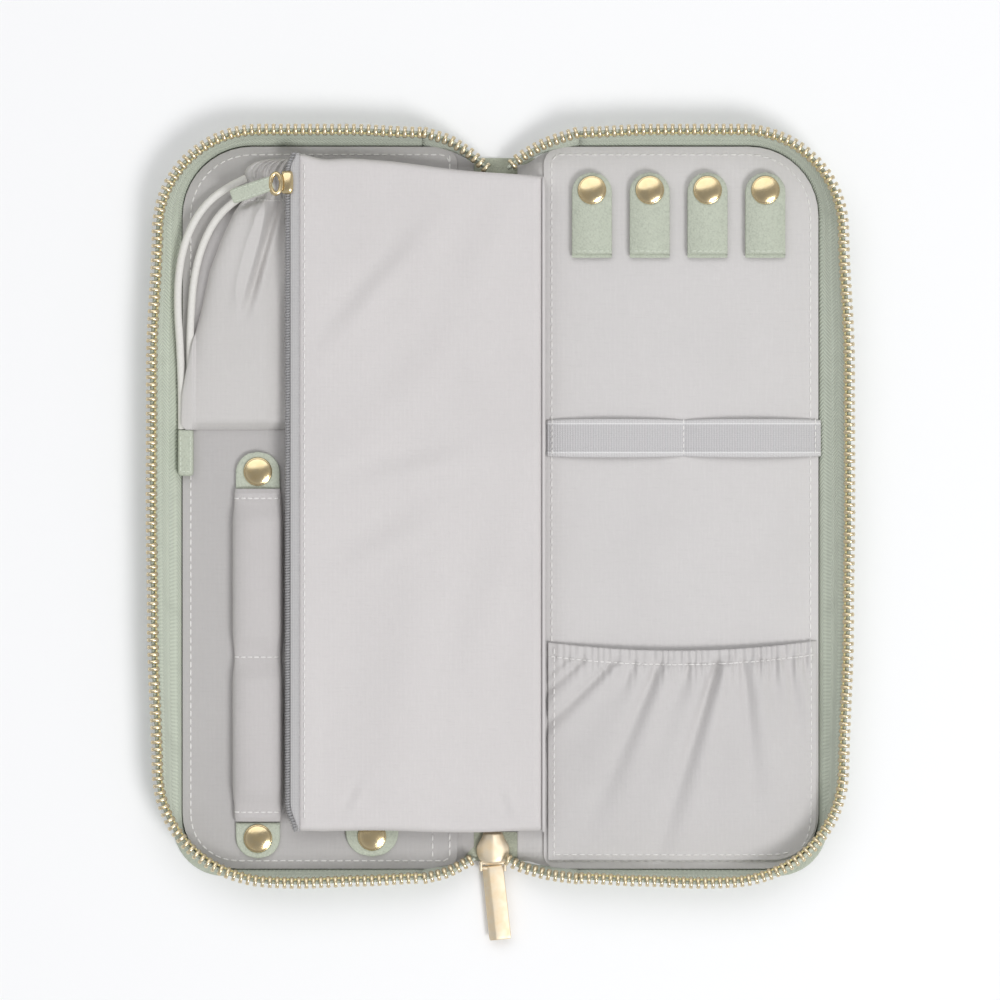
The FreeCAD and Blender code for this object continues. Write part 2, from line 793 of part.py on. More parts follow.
# Page with a zip pocket: two skins on a seam allowance that is open along the zip edge,
# and a sewn strip beside the seam that the page folds over from
page_right = panel_inner - size.page_hinge_gap
page_left = page_right - size.page_width
page_fold = page_right - size.page_fold_from_seam
leaf_right = page_fold - size.page_fold_gap / 2
strip_left = page_fold + size.page_fold_gap / 2
page_top = size.page_base + size.page_thick
seam_high = size.page_thick - size.page_cloth * 2
page_slope = (size.page_top_left_y - size.page_top_right_y) / size.page_width
leaf_top_right_y = size.page_top_left_y - page_slope * (leaf_right - page_left)
strip_top_left_y = size.page_top_left_y - page_slope * (strip_left - page_left)
page_corners = [(page_left, size.page_bottom_y), (leaf_right, size.page_bottom_y),
                (leaf_right, leaf_top_right_y), (page_left, size.page_top_left_y)]
plate("page_fold_strip", [(strip_left, size.page_bottom_y), (page_right, size.page_bottom_y),
                          (page_right, size.page_top_right_y), (strip_left, strip_top_left_y)],
      size.page_base, size.page_thick)
plate("page_back", page_corners, size.page_base, size.page_cloth)
plate("page_front", page_corners, page_top - size.page_cloth, size.page_cloth)
hem = size.page_hem
plate("page_seam_allowance", [
    (page_left, size.page_bottom_y), (leaf_right, size.page_bottom_y),
    (leaf_right, leaf_top_right_y), (page_left, size.page_top_left_y),
    (page_left, size.page_top_left_y - hem),
    (leaf_right - hem, leaf_top_right_y - hem + page_slope * hem),
    (leaf_right - hem, size.page_bottom_y + hem), (page_left, size.page_bottom_y + hem),
], size.page_base + size.page_cloth, seam_high)

# Zip along the page's free edge: two tapes that meet in a coil
tape_edge = page_left - size.page_tape_wide
tape_skin = size.page_cloth * 0.7
coil_x = tape_edge - size.coil_radius
coil_z = page_top - size.page_cloth / 2
tape_run = size.page_top_left_y - size.page_bottom_y
upper_tape = block("page_upper_tape", tape_edge, size.page_bottom_y, coil_z - tape_skin / 2,
                   size.page_tape_wide, tape_run, tape_skin)
lower_tape = doc.addObject("PartDesign::Body", "page_lower_tape")
profile = new_sketch(lower_tape, "XZ_Plane", -size.page_top_left_y)
lean_top = coil_z - size.coil_radius * 1.2
draw(profile, [(x, z, None) for x, z in (
    (page_left, size.page_base), (page_left, size.page_base + size.page_cloth),
    (tape_edge + tape_skin, lean_top), (tape_edge, lean_top))])
pad(lower_tape, profile, tape_run)
page_tapes = doc.addObject("Part::Compound", "page_zip_tapes")
page_tapes.Links = [upper_tape, lower_tape]
keep("page_zip_tapes", page_tapes)
keep("page_zip_coil", rod("page_zip_coil", size.coil_radius, tape_run, coil_x, size.page_top_left_y, coil_z,
                          FreeCAD.Vector(0, -1, 0)))

# The page hangs on a piped seam at the spine edge of the necklace half
hinge_z = page_top - size.page_cloth / 2
piping_x = panel_inner
keep("page_piping", rod("page_piping", size.page_piping, size.page_top_right_y - size.page_bottom_y,
                        piping_x, size.page_top_right_y, hinge_z, FreeCAD.Vector(0, -1, 0)))
gusset_top = hinge_z - size.page_piping - size.crease_gap
plate("page_gusset", oblong(panel_inner - size.gusset_thick / 2 + size.crease_gap,
                            panel_inner + size.gusset_thick / 2 + size.crease_gap,
                            size.page_bottom_y, size.page_top_right_y), panel_top, gusset_top - panel_top)

# Slider of the page zip, its ring and its leather pull
slider_base = page_top + size.page_slider_clear
page_slider_x = coil_x - size.page_slider_wide / 2
page_slider = block("page_slider_blank", page_slider_x, size.page_slider_y - size.page_slider_long / 2, slider_base,
                    size.page_slider_wide, size.page_slider_long, size.page_slider_thick)
groove = rod("page_slider_groove", size.coil_radius + size.page_slider_clear, size.page_slider_long * 2, coil_x,
             size.page_slider_y + size.page_slider_long, coil_z, FreeCAD.Vector(0, -1, 0))
keep("pocket_slider", cut("pocket_slider", page_slider, groove))
ring_z = slider_base + size.page_slider_thick + size.ring_wire + size.page_slider_clear * 2
ring_reach = size.ring_radius + size.ring_wire
ring_x = page_slider_x - ring_reach - size.page_slider_clear * 2
ring_low = ring_z - size.ring_wire
ring_blank = rod("pull_ring_blank", ring_reach, size.ring_wire * 2, ring_x, size.page_slider_y, ring_low)
ring_eye = rod("pull_ring_eye", size.ring_radius - size.ring_wire, size.ring_wire * 4, ring_x, size.page_slider_y,
               ring_low - size.ring_wire)
keep("pocket_pull_ring", cut("pocket_pull_ring", ring_blank, ring_eye))
tab_round = size.tab_wide * 0.2
pull_tab = plate("pocket_pull_tab", [
    (-size.tab_long, -size.tab_wide / 2, tab_round), (0, -size.tab_wide / 2), (0, size.tab_wide / 2),
    (-size.tab_long, size.tab_wide / 2, tab_round)], -size.tab_thick / 2, size.tab_thick)
place(pull_tab, ring_x - ring_reach - size.page_slider_clear, size.page_slider_y, ring_z)
pull_tab.setExpression("Placement.Rotation.Angle", size.tab_tilt.text)


# Ring bar: a padded roll drawn in at its seams, snapped down at its upper end
bar_low_y = size.bar_top_y - size.bar_long
bar_base = panel_top + size.bar_lift


def bar_section(high):
    """Flat underneath with a round crown."""
    half = size.bar_wide / 2
    crown = (half * half + high * high) / (high * 2)
    return [(size.bar_x - half, bar_base, None), (size.bar_x + half, bar_base, (crown, 1))]


def bar_sections():
    """Stations down the roll as (distance from its upper end, height of the crown)."""
    swell = size.bar_end_seam * 3
    seam, middle, long = size.bar_end_seam, size.bar_middle_seam, size.bar_long
    stations = [(dim(0), size.bar_end_high), (seam, size.bar_end_high), (swell, size.bar_high)]
    stations += [(middle - swell, size.bar_high), (middle, size.bar_seam_high), (middle + swell, size.bar_high)]
    stations += [(long - swell, size.bar_high), (long - seam, size.bar_end_high), (long, size.bar_end_high)]
    return [(distance - size.bar_top_y, bar_section(high)) for distance, high in stations]


loft("ring_bar_roll", "XZ_Plane", bar_sections())
bar_tab_round = size.bar_tab_wide * 0.48
tab_low, tab_high = size.bar_x - size.bar_tab_wide / 2, size.bar_x + size.bar_tab_wide / 2
upper_tab_end = size.bar_top_y + size.bar_tab_long
upper_snap_y = upper_tab_end - size.bar_tab_wide * 0.45
holed("ring_bar_upper_tab", oblong(tab_low, tab_high, size.bar_top_y, upper_tab_end, None, bar_tab_round),
      bar_base, size.leather_thick, size.bar_x, upper_snap_y)
snap_cap("ring_bar_upper_cap", size.bar_x, upper_snap_y, bar_base + size.leather_thick)
keep("ring_bar_stud", stud("ring_bar_stud", size.bar_x, upper_snap_y, panel_top,
                           size.bar_lift + size.leather_thick * 0.8))
lower_tab_top = bar_low_y - size.bar_tab_gap
lower_tab_end = bar_low_y - size.bar_tab_long
lower_snap_y = lower_tab_end + size.bar_tab_wide * 0.45
plate("ring_bar_lower_tab", oblong(tab_low, tab_high, lower_tab_end, lower_tab_top, bar_tab_round, None),
      panel_top, size.leather_thick)
snap_cap("ring_bar_lower_cap", size.bar_x, lower_snap_y, panel_top + size.leather_thick)

# Earring strap, mostly under the page
earring_low, earring_high = size.earring_x - size.earring_wide / 2, size.earring_x + size.earring_wide / 2
earring_round = size.earring_wide * 0.45
earring_top = size.earring_end_y + size.earring_long
plate("earring_strap", oblong(earring_low, earring_high, size.earring_end_y, earring_top, earring_round, earring_round),
      panel_top, size.leather_thick)
snap_cap("earring_cap", size.earring_x, size.earring_end_y + size.earring_wide * 0.38,
         panel_top + size.leather_thick)


def pouch_outline(inset):
    """Flat drawstring pouch seen from above, drawn in at its neck under a short ruffle."""
    left, right = size.pouch_left_x + inset, size.pouch_right_x - inset
    neck, ruffle = size.pouch_neck_wide / 2 - inset, size.pouch_ruffle_wide / 2 - inset
    middle = size.pouch_neck_x
    return [(x, y, None) for x, y in (
        (left, size.pouch_bottom_y + inset), (right, size.pouch_bottom_y + inset), (right, size.pouch_shoulder_y),
        (middle + neck, size.pouch_neck_y), (middle + ruffle, size.pouch_ruffle_y - inset),
        (middle - ruffle, size.pouch_ruffle_y - inset), (middle - neck, size.pouch_neck_y),
        (left, size.pouch_shoulder_y))]


loft("drawstring_pouch", "XY_Plane", [
    (panel_top, pouch_outline(dim(0))),
    (panel_top + size.pouch_thick, pouch_outline(size.pouch_inset)),
])

# Drawstring: both strands leave the pouch's neck and end in a folded leather tab
cord_radius = size.cord_diameter.value / 2
cord_lie = float(panel_top) + cord_radius + size.strap_gap.value
tab_in_y = size.cord_tab_y.value
strand_x = size.cord_diameter.value * 0.54
neck_side = float(size.pouch_neck_x - size.pouch_neck_wide / 2) - 2 * size.strap_gap.value
OUTER_ROUTE = (
    (neck_side - 1.0, 108.0, cord_lie), (-91.0, 104.8, cord_lie + 0.8), (-98.5, 98.2, cord_lie + 1.8),
    (-103.6, 88.8, cord_lie + 2.8), (-106.2, 77.5, cord_lie + 3.2), (-106.6, 65.0, cord_lie + 2.6),
    (-105.9, 53.5, cord_lie + 1.4), (-105.5, 42.5, cord_lie + 0.4),
    (size.cord_tab_x.value - strand_x, 33.0, cord_lie), (size.cord_tab_x.value - strand_x, tab_in_y, cord_lie),
)
INNER_ROUTE = (
    (neck_side, 103.4, cord_lie), (-88.6, 100.2, cord_lie + 0.2), (-94.6, 94.0, cord_lie),
    (-98.9, 85.2, cord_lie + 0.2), (-101.4, 75.0, cord_lie), (-102.3, 64.0, cord_lie + 0.2),
    (-102.7, 53.0, cord_lie), (-102.5, 42.5, cord_lie + 0.1),
    (size.cord_tab_x.value + strand_x, 33.0, cord_lie), (size.cord_tab_x.value + strand_x, tab_in_y, cord_lie),
)


def cord_tube(label, route, radius):
    """A cord along straight runs joined by arcs as large as the runs allow."""
    points = [FreeCAD.Vector(*point) for point in route]
    edges = []
    radii = []
    last = points[0]
    for before, corner, after in zip(points, points[1:], points[2:]):
        to_before = before - corner
        to_after = after - corner
        turn = math.pi - to_before.getAngle(to_after)
        reach = 0.45 * min(to_before.Length, to_after.Length)
        if turn < 1e-4:
            continue
        radii.append(reach / math.tan(turn / 2))
        start = corner + to_before.normalize() * reach
        end = corner + to_after.normalize() * reach
        bisector = ((start + end) * 0.5 - corner).normalize()
        depth = radii[-1] / math.cos(turn / 2) - radii[-1]
        edges.append(Part.LineSegment(last, start).toShape())
        edges.append(Part.Arc(start, corner + bisector * depth, end).toShape())
        last = end
    edges.append(Part.LineSegment(last, points[-1]).toShape())
    path = Part.Wire(edges)
    turn = FreeCAD.Rotation(FreeCAD.Vector(0, 0, 1), points[1] - points[0])
    corners = [FreeCAD.Vector(radius * math.cos(k * math.pi / 4), radius * math.sin(k * math.pi / 4), 0)
               for k in range(8)]
    corners = [points[0] + turn.multVec(corner) for corner in corners]
    tube = path.makePipeShell([Part.makePolygon(corners + corners[:1])], True, False)
    ideal = 2 * math.sqrt(2) * radius * radius * path.Length
    print(label, "length", round(path.Length, 1), "least radius", round(min(radii), 1),
          "volume share", round(tube.Volume / ideal, 4))
    return group(label, [tube])


cord_tube("drawstring_outer", OUTER_ROUTE, cord_radius)
cord_tube("drawstring_inner", INNER_ROUTE, cord_radius)
plate("drawstring_tab", oblong(size.cord_tab_x - size.cord_tab_wide / 2, size.cord_tab_x + size.cord_tab_wide / 2,
                               size.cord_tab_y - size.cord_tab_long, size.cord_tab_y),
      panel_top, size.cord_tab_thick)

doc.recompute()
for item in doc.Objects:
    if "Invalid" in item.State or "Error" in item.State:
        raise RuntimeError(f"{item.Label} did not build: {item.State}")
for node in nodes:
    if node.Shape.isNull() or not node.Shape.isValid() or not node.Shape.Solids:
        raise RuntimeError(f"{node.Label} is not a sound solid")
os.makedirs("parts", exist_ok=True)
for node in nodes:
    node.Shape.exportStep(f"parts/{node.Label}.step")
print(len(nodes), "nodes written")
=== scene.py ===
"""Looks of the travel jewellery case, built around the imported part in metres; sizes below are in millimetres."""

import math

import bpy
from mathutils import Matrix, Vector, noise


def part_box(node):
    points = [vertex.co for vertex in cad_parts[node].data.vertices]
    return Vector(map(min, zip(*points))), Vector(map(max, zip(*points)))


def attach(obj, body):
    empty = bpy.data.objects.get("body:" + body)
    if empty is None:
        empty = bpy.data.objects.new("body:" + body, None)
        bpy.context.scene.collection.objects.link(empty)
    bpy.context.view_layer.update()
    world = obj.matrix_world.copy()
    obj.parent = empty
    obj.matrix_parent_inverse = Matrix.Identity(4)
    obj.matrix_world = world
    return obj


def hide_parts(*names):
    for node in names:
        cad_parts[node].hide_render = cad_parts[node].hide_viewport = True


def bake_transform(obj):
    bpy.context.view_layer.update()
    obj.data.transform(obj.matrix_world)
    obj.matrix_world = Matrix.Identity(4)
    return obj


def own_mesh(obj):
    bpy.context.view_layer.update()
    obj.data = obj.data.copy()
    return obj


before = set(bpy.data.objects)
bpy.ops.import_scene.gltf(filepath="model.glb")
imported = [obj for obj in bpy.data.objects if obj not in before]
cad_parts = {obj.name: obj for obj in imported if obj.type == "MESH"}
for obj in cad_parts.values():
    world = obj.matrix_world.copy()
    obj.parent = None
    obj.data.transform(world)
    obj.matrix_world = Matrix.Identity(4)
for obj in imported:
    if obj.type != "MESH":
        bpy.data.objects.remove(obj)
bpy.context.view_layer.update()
scene = bpy.context.scene
scene.view_settings.view_transform = "Standard"

SIDES = ((-1, "left"), (1, "right"))
FOLD_HEIGHT = 1.2
LINING_TOP = 3.52
TOOTH_PITCH = 2.4


def metres(point):
    return tuple(value * 0.001 for value in point)


def linear(red, green, blue):
    """A screen colour of 0 to 255 as the light it stands for."""
    def one(value):
        value /= 255.0
        return value / 12.92 if value <= 0.04045 else ((value + 0.055) / 1.055) ** 2.4
    return (one(red), one(green), one(blue), 1.0)


class Shape:
    """Gathers points and faces of several forms into one mesh."""

    def __init__(self):
        self.points, self.faces, self.uvs = [], [], []

    def add(self, points, faces, uvs=None):
        start = len(self.points)
        self.points += [tuple(point) for point in points]
        self.faces += [tuple(index + start for index in face) for face in faces]
        self.uvs += uvs or [(0.0, 0.0)] * len(points)
        return self

    def loft(self, rings, caps=True, uvs=None):
        """Skin over closed rings of equal count."""
        count = len(rings[0])
        faces = []
        for row in range(len(rings) - 1):
            for k in range(count):
                a, b = row * count + k, row * count + (k + 1) % count
                faces.append((a, b, b + count, a + count))
        if caps:
            faces.append(tuple(reversed(range(count))))
            faces.append(tuple(range((len(rings) - 1) * count, len(rings) * count)))
        return self.add([point for ring in rings for point in ring], faces, uvs)

    def make(self, name, material, body, slot, *nodes, with_uvs=False):
        """A smooth mesh object that rides on a body and stands in for nodes of the part."""
        mesh = bpy.data.meshes.new(name)
        mesh.from_pydata([metres(point) for point in self.points], [], self.faces)
        mesh.validate()
        mesh.update()
        if with_uvs:
            layer = mesh.uv_layers.new(name="strip")
            for loop in mesh.loops:
                layer.data[loop.index].uv = self.uvs[loop.vertex_index]
        obj = bpy.data.objects.new(name, mesh)
        scene.collection.objects.link(obj)
        mesh.materials.append(material)
        for polygon in mesh.polygons:
            polygon.use_smooth = True
        if body:
            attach(obj, body)
        if nodes:
            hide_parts(*nodes)
        return obj


def ease(t):
    t = max(0.0, min(1.0, t))
    return t * t * (3 - 2 * t)


def mix(a, b, t):
    return a + (b - a) * t


def hill(distance, width):
    return math.exp(-(distance / width) ** 2)


def between(low, high, count):
    return [low + (high - low) * k / count for k in range(count + 1)]


def table(t, rows, smooth=True):
    """Reading of rows of (place, value) at place t."""
    if t <= rows[0][0]:
        return rows[0][1]
    for (a, low), (b, high) in zip(rows, rows[1:]):
        if t <= b:
            share = (t - a) / (b - a)
            return mix(low, high, ease(share) if smooth else share)
    return rows[-1][1]


def raised(points, height):
    return [(x, y, z + height) for x, y, z in points]


def mirrored(half, crest=()):
    """A profile of (across, up) from one edge to the other, from its right half and what stands in the middle."""
    return [(-across, up) for across, up in half] + list(crest) + list(reversed(half))


def outward(heading, way):
    """Level direction square to a heading, on the side that way points to."""
    out = Vector((heading.y, -heading.x, 0.0)).normalized()
    return out if out.dot(Vector(way)) >= 0 else -out


def rounded_box(x0, x1, y0, y1, radii, inset=0.0, steps=8):
    """Outline of a plate, anticlockwise from its lower left corner; radii run in that order too."""
    low_x, high_x, low_y, high_y = x0 + inset, x1 - inset, y0 + inset, y1 - inset
    if not isinstance(radii, tuple):
        radii = (radii,) * 4
    points = []
    for index, radius in enumerate(radii):
        r = max(radius - inset, 0.02)
        cx = low_x + r if index in (0, 3) else high_x - r
        cy = low_y + r if index in (0, 1) else high_y - r
        for k in range(steps + 1):
            turn = math.pi * (1.0 + 0.5 * index + 0.5 * k / steps)
            points.append((cx + r * math.cos(turn), cy + r * math.sin(turn)))
    return points


def plate(shape, x0, x1, y0, y1, radii, low, high, edge=0.4, under=0.0, steps=8):
    """A flat panel with a rounded upper rim, and a rounded lower one where under is given."""
    rims = [] if under else [(0.0, low)]
    if under:
        for turn in between(0.0, math.pi / 2, 3):
            rims.append((under * (1 - math.sin(turn)), low + under * (1 - math.cos(turn))))
    for turn in between(0.0, math.pi / 2, 4):
        rims.append((edge * (1 - math.cos(turn)), high - edge * (1 - math.sin(turn))))
    return shape.loft([[(x, y, z) for x, y in rounded_box(x0, x1, y0, y1, radii, inset, steps)] for inset, z in rims])


def tube(shape, path, radius, sides=8, caps=True, squash=1.0, up=(0, 0, 1)):
    """A round rod along a path of points; radius is a number or one for each point."""
    path = [Vector(point) for point in path]
    rings = []
    for k, point in enumerate(path):
        along = (path[min(k + 1, len(path) - 1)] - path[max(k - 1, 0)]).normalized()
        side = along.cross(Vector(up))
        side = side.normalized() if side.length > 1e-6 else Vector((1, 0, 0))
        rise = side.cross(along).normalized()
        r = radius[k] if isinstance(radius, list) else radius
        rings.append([point + side * (r * math.cos(turn)) + rise * (r * squash * math.sin(turn))
                      for turn in (2 * math.pi * n / sides for n in range(sides))])
    return shape.loft(rings, caps)


def walk(path, pitch, start=0.0):
    """Evenly spaced places along a run of points, each with its heading."""
    path = [Vector(point) for point in path]
    reach, at = start, 0.0
    for a, b in zip(path, path[1:]):
        length = (b - a).length
        while length > 0 and reach <= at + length:
            yield a + (b - a) * ((reach - at) / length), (b - a).normalized()
            reach += pitch
        at += length


def stitches(shape, path, pitch=2.7, length=1.9, thick=0.26):
    """A row of sewn threads that lie along a path, each sinking into its holes at both ends."""
    ends = ((-0.5, -0.7), (-0.36, 0.1), (0.0, 0.3), (0.36, 0.1), (0.5, -0.7))
    widths = [thick * share for share in (0.7, 1.0, 1.05, 1.0, 0.7)]
    for place, heading in walk(path, pitch, pitch * 0.5):
        tube(shape, [place + heading * (length * s) + Vector((0, 0, thick * z)) for s, z in ends], widths, sides=6)


def seam(name, runs, material, body, slot, *size):
    """One piece with a row of stitches along each run; size is their pitch, length and thickness."""
    shape = Shape()
    for run in runs:
        stitches(shape, run, *size)
    return shape.make(name, material, body, slot)


# Camera straight above, and soft light from the lower right
eye = bpy.data.cameras.new("eye")
eye.lens, eye.sensor_width, eye.clip_end = 163.6, 36.0, 10.0
eye.dof.use_dof = False
camera = bpy.data.objects.new("eye", eye)
camera.location = (-0.000165, 0.00165, 1.507)
scene.collection.objects.link(camera)
scene.camera = camera


def lamp(name, place, width, depth, strength):
    """An oval lamp that looks at the middle of the case."""
    light = bpy.data.lights.new(name, "AREA")
    light.shape, light.size, light.size_y, light.energy = "ELLIPSE", width, depth, strength
    obj = bpy.data.objects.new(name, light)
    obj.location = place
    obj.rotation_euler = (-Vector(place)).to_track_quat("-Z", "Y").to_euler()
    scene.collection.objects.link(obj)


lamp("window", (0.9, -1.0, 1.85), 0.9, 0.9, 24.5)
lamp("fill", (-0.2, 1.1, 1.75), 2.8, 1.8, 15.0)

# Pale surroundings, dimmer straight above than near the horizon
sky = bpy.data.worlds.new("studio")
sky.use_nodes = True
web = sky.node_tree
way = web.nodes.new("ShaderNodeTexCoord")
axes = web.nodes.new("ShaderNodeSeparateXYZ")
shade = web.nodes.new("ShaderNodeMapRange")
shade.interpolation_type = "SMOOTHSTEP"
for key, value in (("From Min", 0.72), ("From Max", 0.97), ("To Min", 0.52), ("To Max", 0.34)):
    shade.inputs[key].default_value = value
web.links.new(way.outputs["Generated"], axes.inputs[0])
web.links.new(axes.outputs["Z"], shade.inputs["Value"])
web.links.new(shade.outputs["Result"], web.nodes["Background"].inputs["Strength"])
web.nodes["Background"].inputs["Color"].default_value = (0.97, 0.98, 1.0, 1.0)
scene.world = sky


def scaled(colour, factor):
    """A darker or paler colour."""
    return tuple(min(1.0, value * factor) for value in colour[:3]) + (1.0,)


def threads(pitch):
    """Scale of a wave that comes round every pitch millimetres."""
    return math.pi / pitch / 10.0


class Finish:
    """A node material with colour, bump and sheen built up step by step."""

    def __init__(self, name, colour, roughness=0.7, metallic=0.0, sheen=0.0, specular=0.3):
        self.material = bpy.data.materials.new(name)
        self.material.use_nodes = True
        self.tree = self.material.node_tree
        self.surface = self.tree.nodes["Principled BSDF"]
        for key, value in (("Base Color", colour), ("Roughness", roughness), ("Metallic", metallic),
                           ("Specular IOR Level", specular), ("Sheen Weight", sheen), ("Sheen Roughness", 0.5)):
            self.surface.inputs[key].default_value = value
        self.base = colour
        self.colour_out = self.height_out = None

    def node(self, kind, **values):
        made = self.tree.nodes.new(kind)
        for key, value in values.items():
            if key in made.inputs:
                made.inputs[key].default_value = value
            else:
                setattr(made, key, value)
        return made

    def join(self, source, target):
        self.tree.links.new(source, target)

    def place(self, scale=(1.0, 1.0, 1.0), turn=0.0, strip=False):
        """Places on the piece in millimetres, or along its own strip where that is marked out."""
        spot = self.node("ShaderNodeTexCoord")
        size = 1.0 if strip else 1000.0
        shift = self.node("ShaderNodeMapping", Scale=[value * size for value in scale], Rotation=(0.0, 0.0, turn))
        self.join(spot.outputs["UV" if strip else "Object"], shift.inputs["Vector"])
        return shift.outputs["Vector"]

    def axes(self, where):
        """The single measures of a place, by the axis they lie on."""
        parts = self.node("ShaderNodeSeparateXYZ")
        self.join(where, parts.inputs[0])
        return parts.outputs

    def maths(self, operation, *values):
        made = self.node("ShaderNodeMath", operation=operation)
        for socket, value in zip(made.inputs, values):
            if isinstance(value, (int, float)):
                socket.default_value = value
            else:
                self.join(value, socket)
        return made.outputs[0]

    def texture(self, kind, output, where, **values):
        made = self.node(f"ShaderNodeTex{kind}", **values)
        self.join(where, made.inputs["Vector"])
        return made.outputs[output]

    def noise(self, where, scale, detail=3.0):
        return self.texture("Noise", "Fac", where, Scale=scale, Detail=detail, Roughness=0.5)

    def cells(self, where, scale):
        return self.texture("Voronoi", "Distance", where, Scale=scale, Randomness=1.0)

    def wave(self, where, scale, direction, distortion=0.0):
        return self.texture("Wave", "Fac", where, Scale=scale, Distortion=distortion, bands_direction=direction)

    def height(self, value, weight):
        """Adds to the relief."""
        part = self.maths("MULTIPLY", value, weight)
        self.height_out = part if self.height_out is None else self.maths("ADD", self.height_out, part)

    def spread(self, value, **limits):
        made = self.node("ShaderNodeMapRange", **{key.replace("_", " "): limit for key, limit in limits.items()})
        self.join(value, made.inputs["Value"])
        return made.outputs["Result"]

    def tint(self, value, colour, amount=1.0, low=0.0, high=1.0):
        """Moves the colour towards another where the value is high."""
        share = self.spread(value, From_Min=low, From_Max=high, To_Max=amount)
        made = self.node("ShaderNodeMix", data_type="RGBA")
        self.join(share, made.inputs[0])
        if self.colour_out is None:
            made.inputs[6].default_value = self.base
        else:
            self.join(self.colour_out, made.inputs[6])
        made.inputs[7].default_value = colour
        self.colour_out = made.outputs[2]

    def gloss(self, value, low, high):
        self.join(self.spread(value, To_Min=low, To_Max=high), self.surface.inputs["Roughness"])

    def done(self, relief, depth):
        if self.colour_out is not None:
            self.join(self.colour_out, self.surface.inputs["Base Color"])
        bump = self.node("ShaderNodeBump", Strength=relief, Distance=depth)
        self.join(self.height_out, bump.inputs["Height"])
        self.join(bump.outputs["Normal"], self.surface.inputs["Normal"])
        return self.material


def leather(name, colour):
    """Small irregular pebbles with darker creases, fine pores and a soft rub along the high spots."""
    grain = 1.6
    made = Finish(name, colour, 0.52, sheen=0.05, specular=0.35)
    where = made.place()
    pebble = made.cells(where, grain)
    made.height(pebble, -0.8)
    made.height(made.cells(where, grain * 2.6), -0.35)
    made.height(made.noise(where, 6.0), 0.25)
    made.tint(pebble, scaled(colour, 0.72), 0.4, 0.45, 0.8)
    made.tint(made.noise(where, 0.9, 2.0), scaled(colour, 1.12), 0.5, 0.45, 0.75)
    made.gloss(pebble, 0.42, 0.66)
    return made.done(0.55, 0.0003)


def cloth(name, colour, pitch=0.42, strength=0.35):
    """A plain weave: threads over and under, a little uneven, with soft cloudy shading."""
    made = Finish(name, colour, 0.85, sheen=0.18, specular=0.15)
    where = made.place()
    warp, weft = (made.wave(where, threads(pitch), axis, 0.35) for axis in "XY")
    over = made.maths("MULTIPLY", warp, weft)
    made.height(over, 0.8)
    made.height(made.maths("MAXIMUM", warp, weft), 0.4)
    slub = made.noise(made.place((0.25, 2.5, 1.0)), 1.0, 2.0)
    slub_across = made.noise(made.place((2.5, 0.25, 1.0)), 1.0, 2.0)
    made.height(slub, 0.5)
    made.height(slub_across, 0.5)
    dark = scaled(colour, 0.86)
    made.tint(over, dark, 0.35, 0.55, 0.0)
    made.tint(slub, dark, 0.35, 0.55, 0.8)
    made.tint(slub_across, scaled(colour, 1.05), 0.4, 0.5, 0.8)
    made.tint(made.noise(where, 0.03, 2.0), dark, 0.22, 0.5, 0.75)
    return made.done(strength, 0.0002)


def thread(name, colour):
    """Sewing thread: pale, matt and lightly twisted."""
    made = Finish(name, colour, 0.7, sheen=0.1, specular=0.2)
    twist = made.noise(made.place((3.0, 3.0, 3.0)), 1.0, 2.0)
    made.height(twist, 0.5)
    made.tint(twist, scaled(colour, 0.85), 0.5, 0.5, 0.8)
    return made.done(0.2, 0.0001)


def herringbone(name, colour):
    """Woven zip tape: slanted threads that turn back at each rib."""
    rib_width, thread_width = 2.6, 1.15
    made = Finish(name, colour, 0.7, sheen=0.15, specular=0.2)
    where = made.place(strip=True)
    parts = made.axes(where)
    along, up = parts["X"], parts["Y"]
    slant = made.maths("ADD", along, made.maths("PINGPONG", up, rib_width))
    lines = made.maths("SINE", made.maths("MULTIPLY", slant, 2 * math.pi / thread_width))
    edge = made.maths("SINE", made.maths("MULTIPLY", up, 2 * math.pi / rib_width))
    made.height(lines, 0.6)
    made.height(edge, 0.35)
    dark = scaled(colour, 0.7)
    made.tint(lines, dark, 0.5, 0.2, -1.0)
    made.tint(edge, scaled(colour, 1.15), 0.35, 0.3, 1.0)
    made.tint(made.noise(where, 0.12), dark, 0.35, 0.5, 0.8)
    return made.done(0.5, 0.0003)


def gold(name, colour, roughness, brush=0.4):
    """Plated metal with fine brushing and a few dull patches."""
    made = Finish(name, colour, roughness, metallic=1.0, specular=0.5)
    cloud = made.noise(made.place(), 0.35)
    made.height(made.noise(made.place((8.0, 0.6, 1.0), 0.4), 1.0, 2.0), brush)
    made.height(cloud, 0.4)
    made.gloss(cloud, roughness * 0.7, roughness * 1.5)
    made.tint(cloud, (colour[0], colour[1] * 0.93, colour[2] * 0.8, 1.0), 0.6, 0.4, 0.7)
    return made.done(0.08, 0.0003)


SAGE = leather("sage_leather", linear(190, 196, 180))
SPINE_SAGE = leather("spine_leather", linear(174, 178, 160))
LINING = cloth("grey_lining", linear(213, 210, 209))
# The left half's lining is a darker copy of the grey lining: painted shade.
PAINTED_SHADE_LINING = cloth("painted_shade_lining", linear(192, 189, 188))
PAGE_CLOTH = cloth("page_cloth", linear(216, 212, 211))
POCKET_CLOTH = cloth("pocket_cloth", linear(206, 203, 202))
# The ring bar's pad takes the darker tone of the left half's lining: painted shade.
PAD_CLOTH_PAINTED_SHADE = cloth("pad_cloth_painted_shade", linear(203, 199, 198))
# The tape's green is lifted to make up for the shade on the sloping walls: partly its own tone, partly painted light.
TAPE = herringbone("sage_tape", linear(203, 210, 194))
TEETH = gold("gold_teeth", linear(228, 214, 182), 0.26)
GOLD = gold("gold_hardware", linear(226, 207, 166), 0.17)
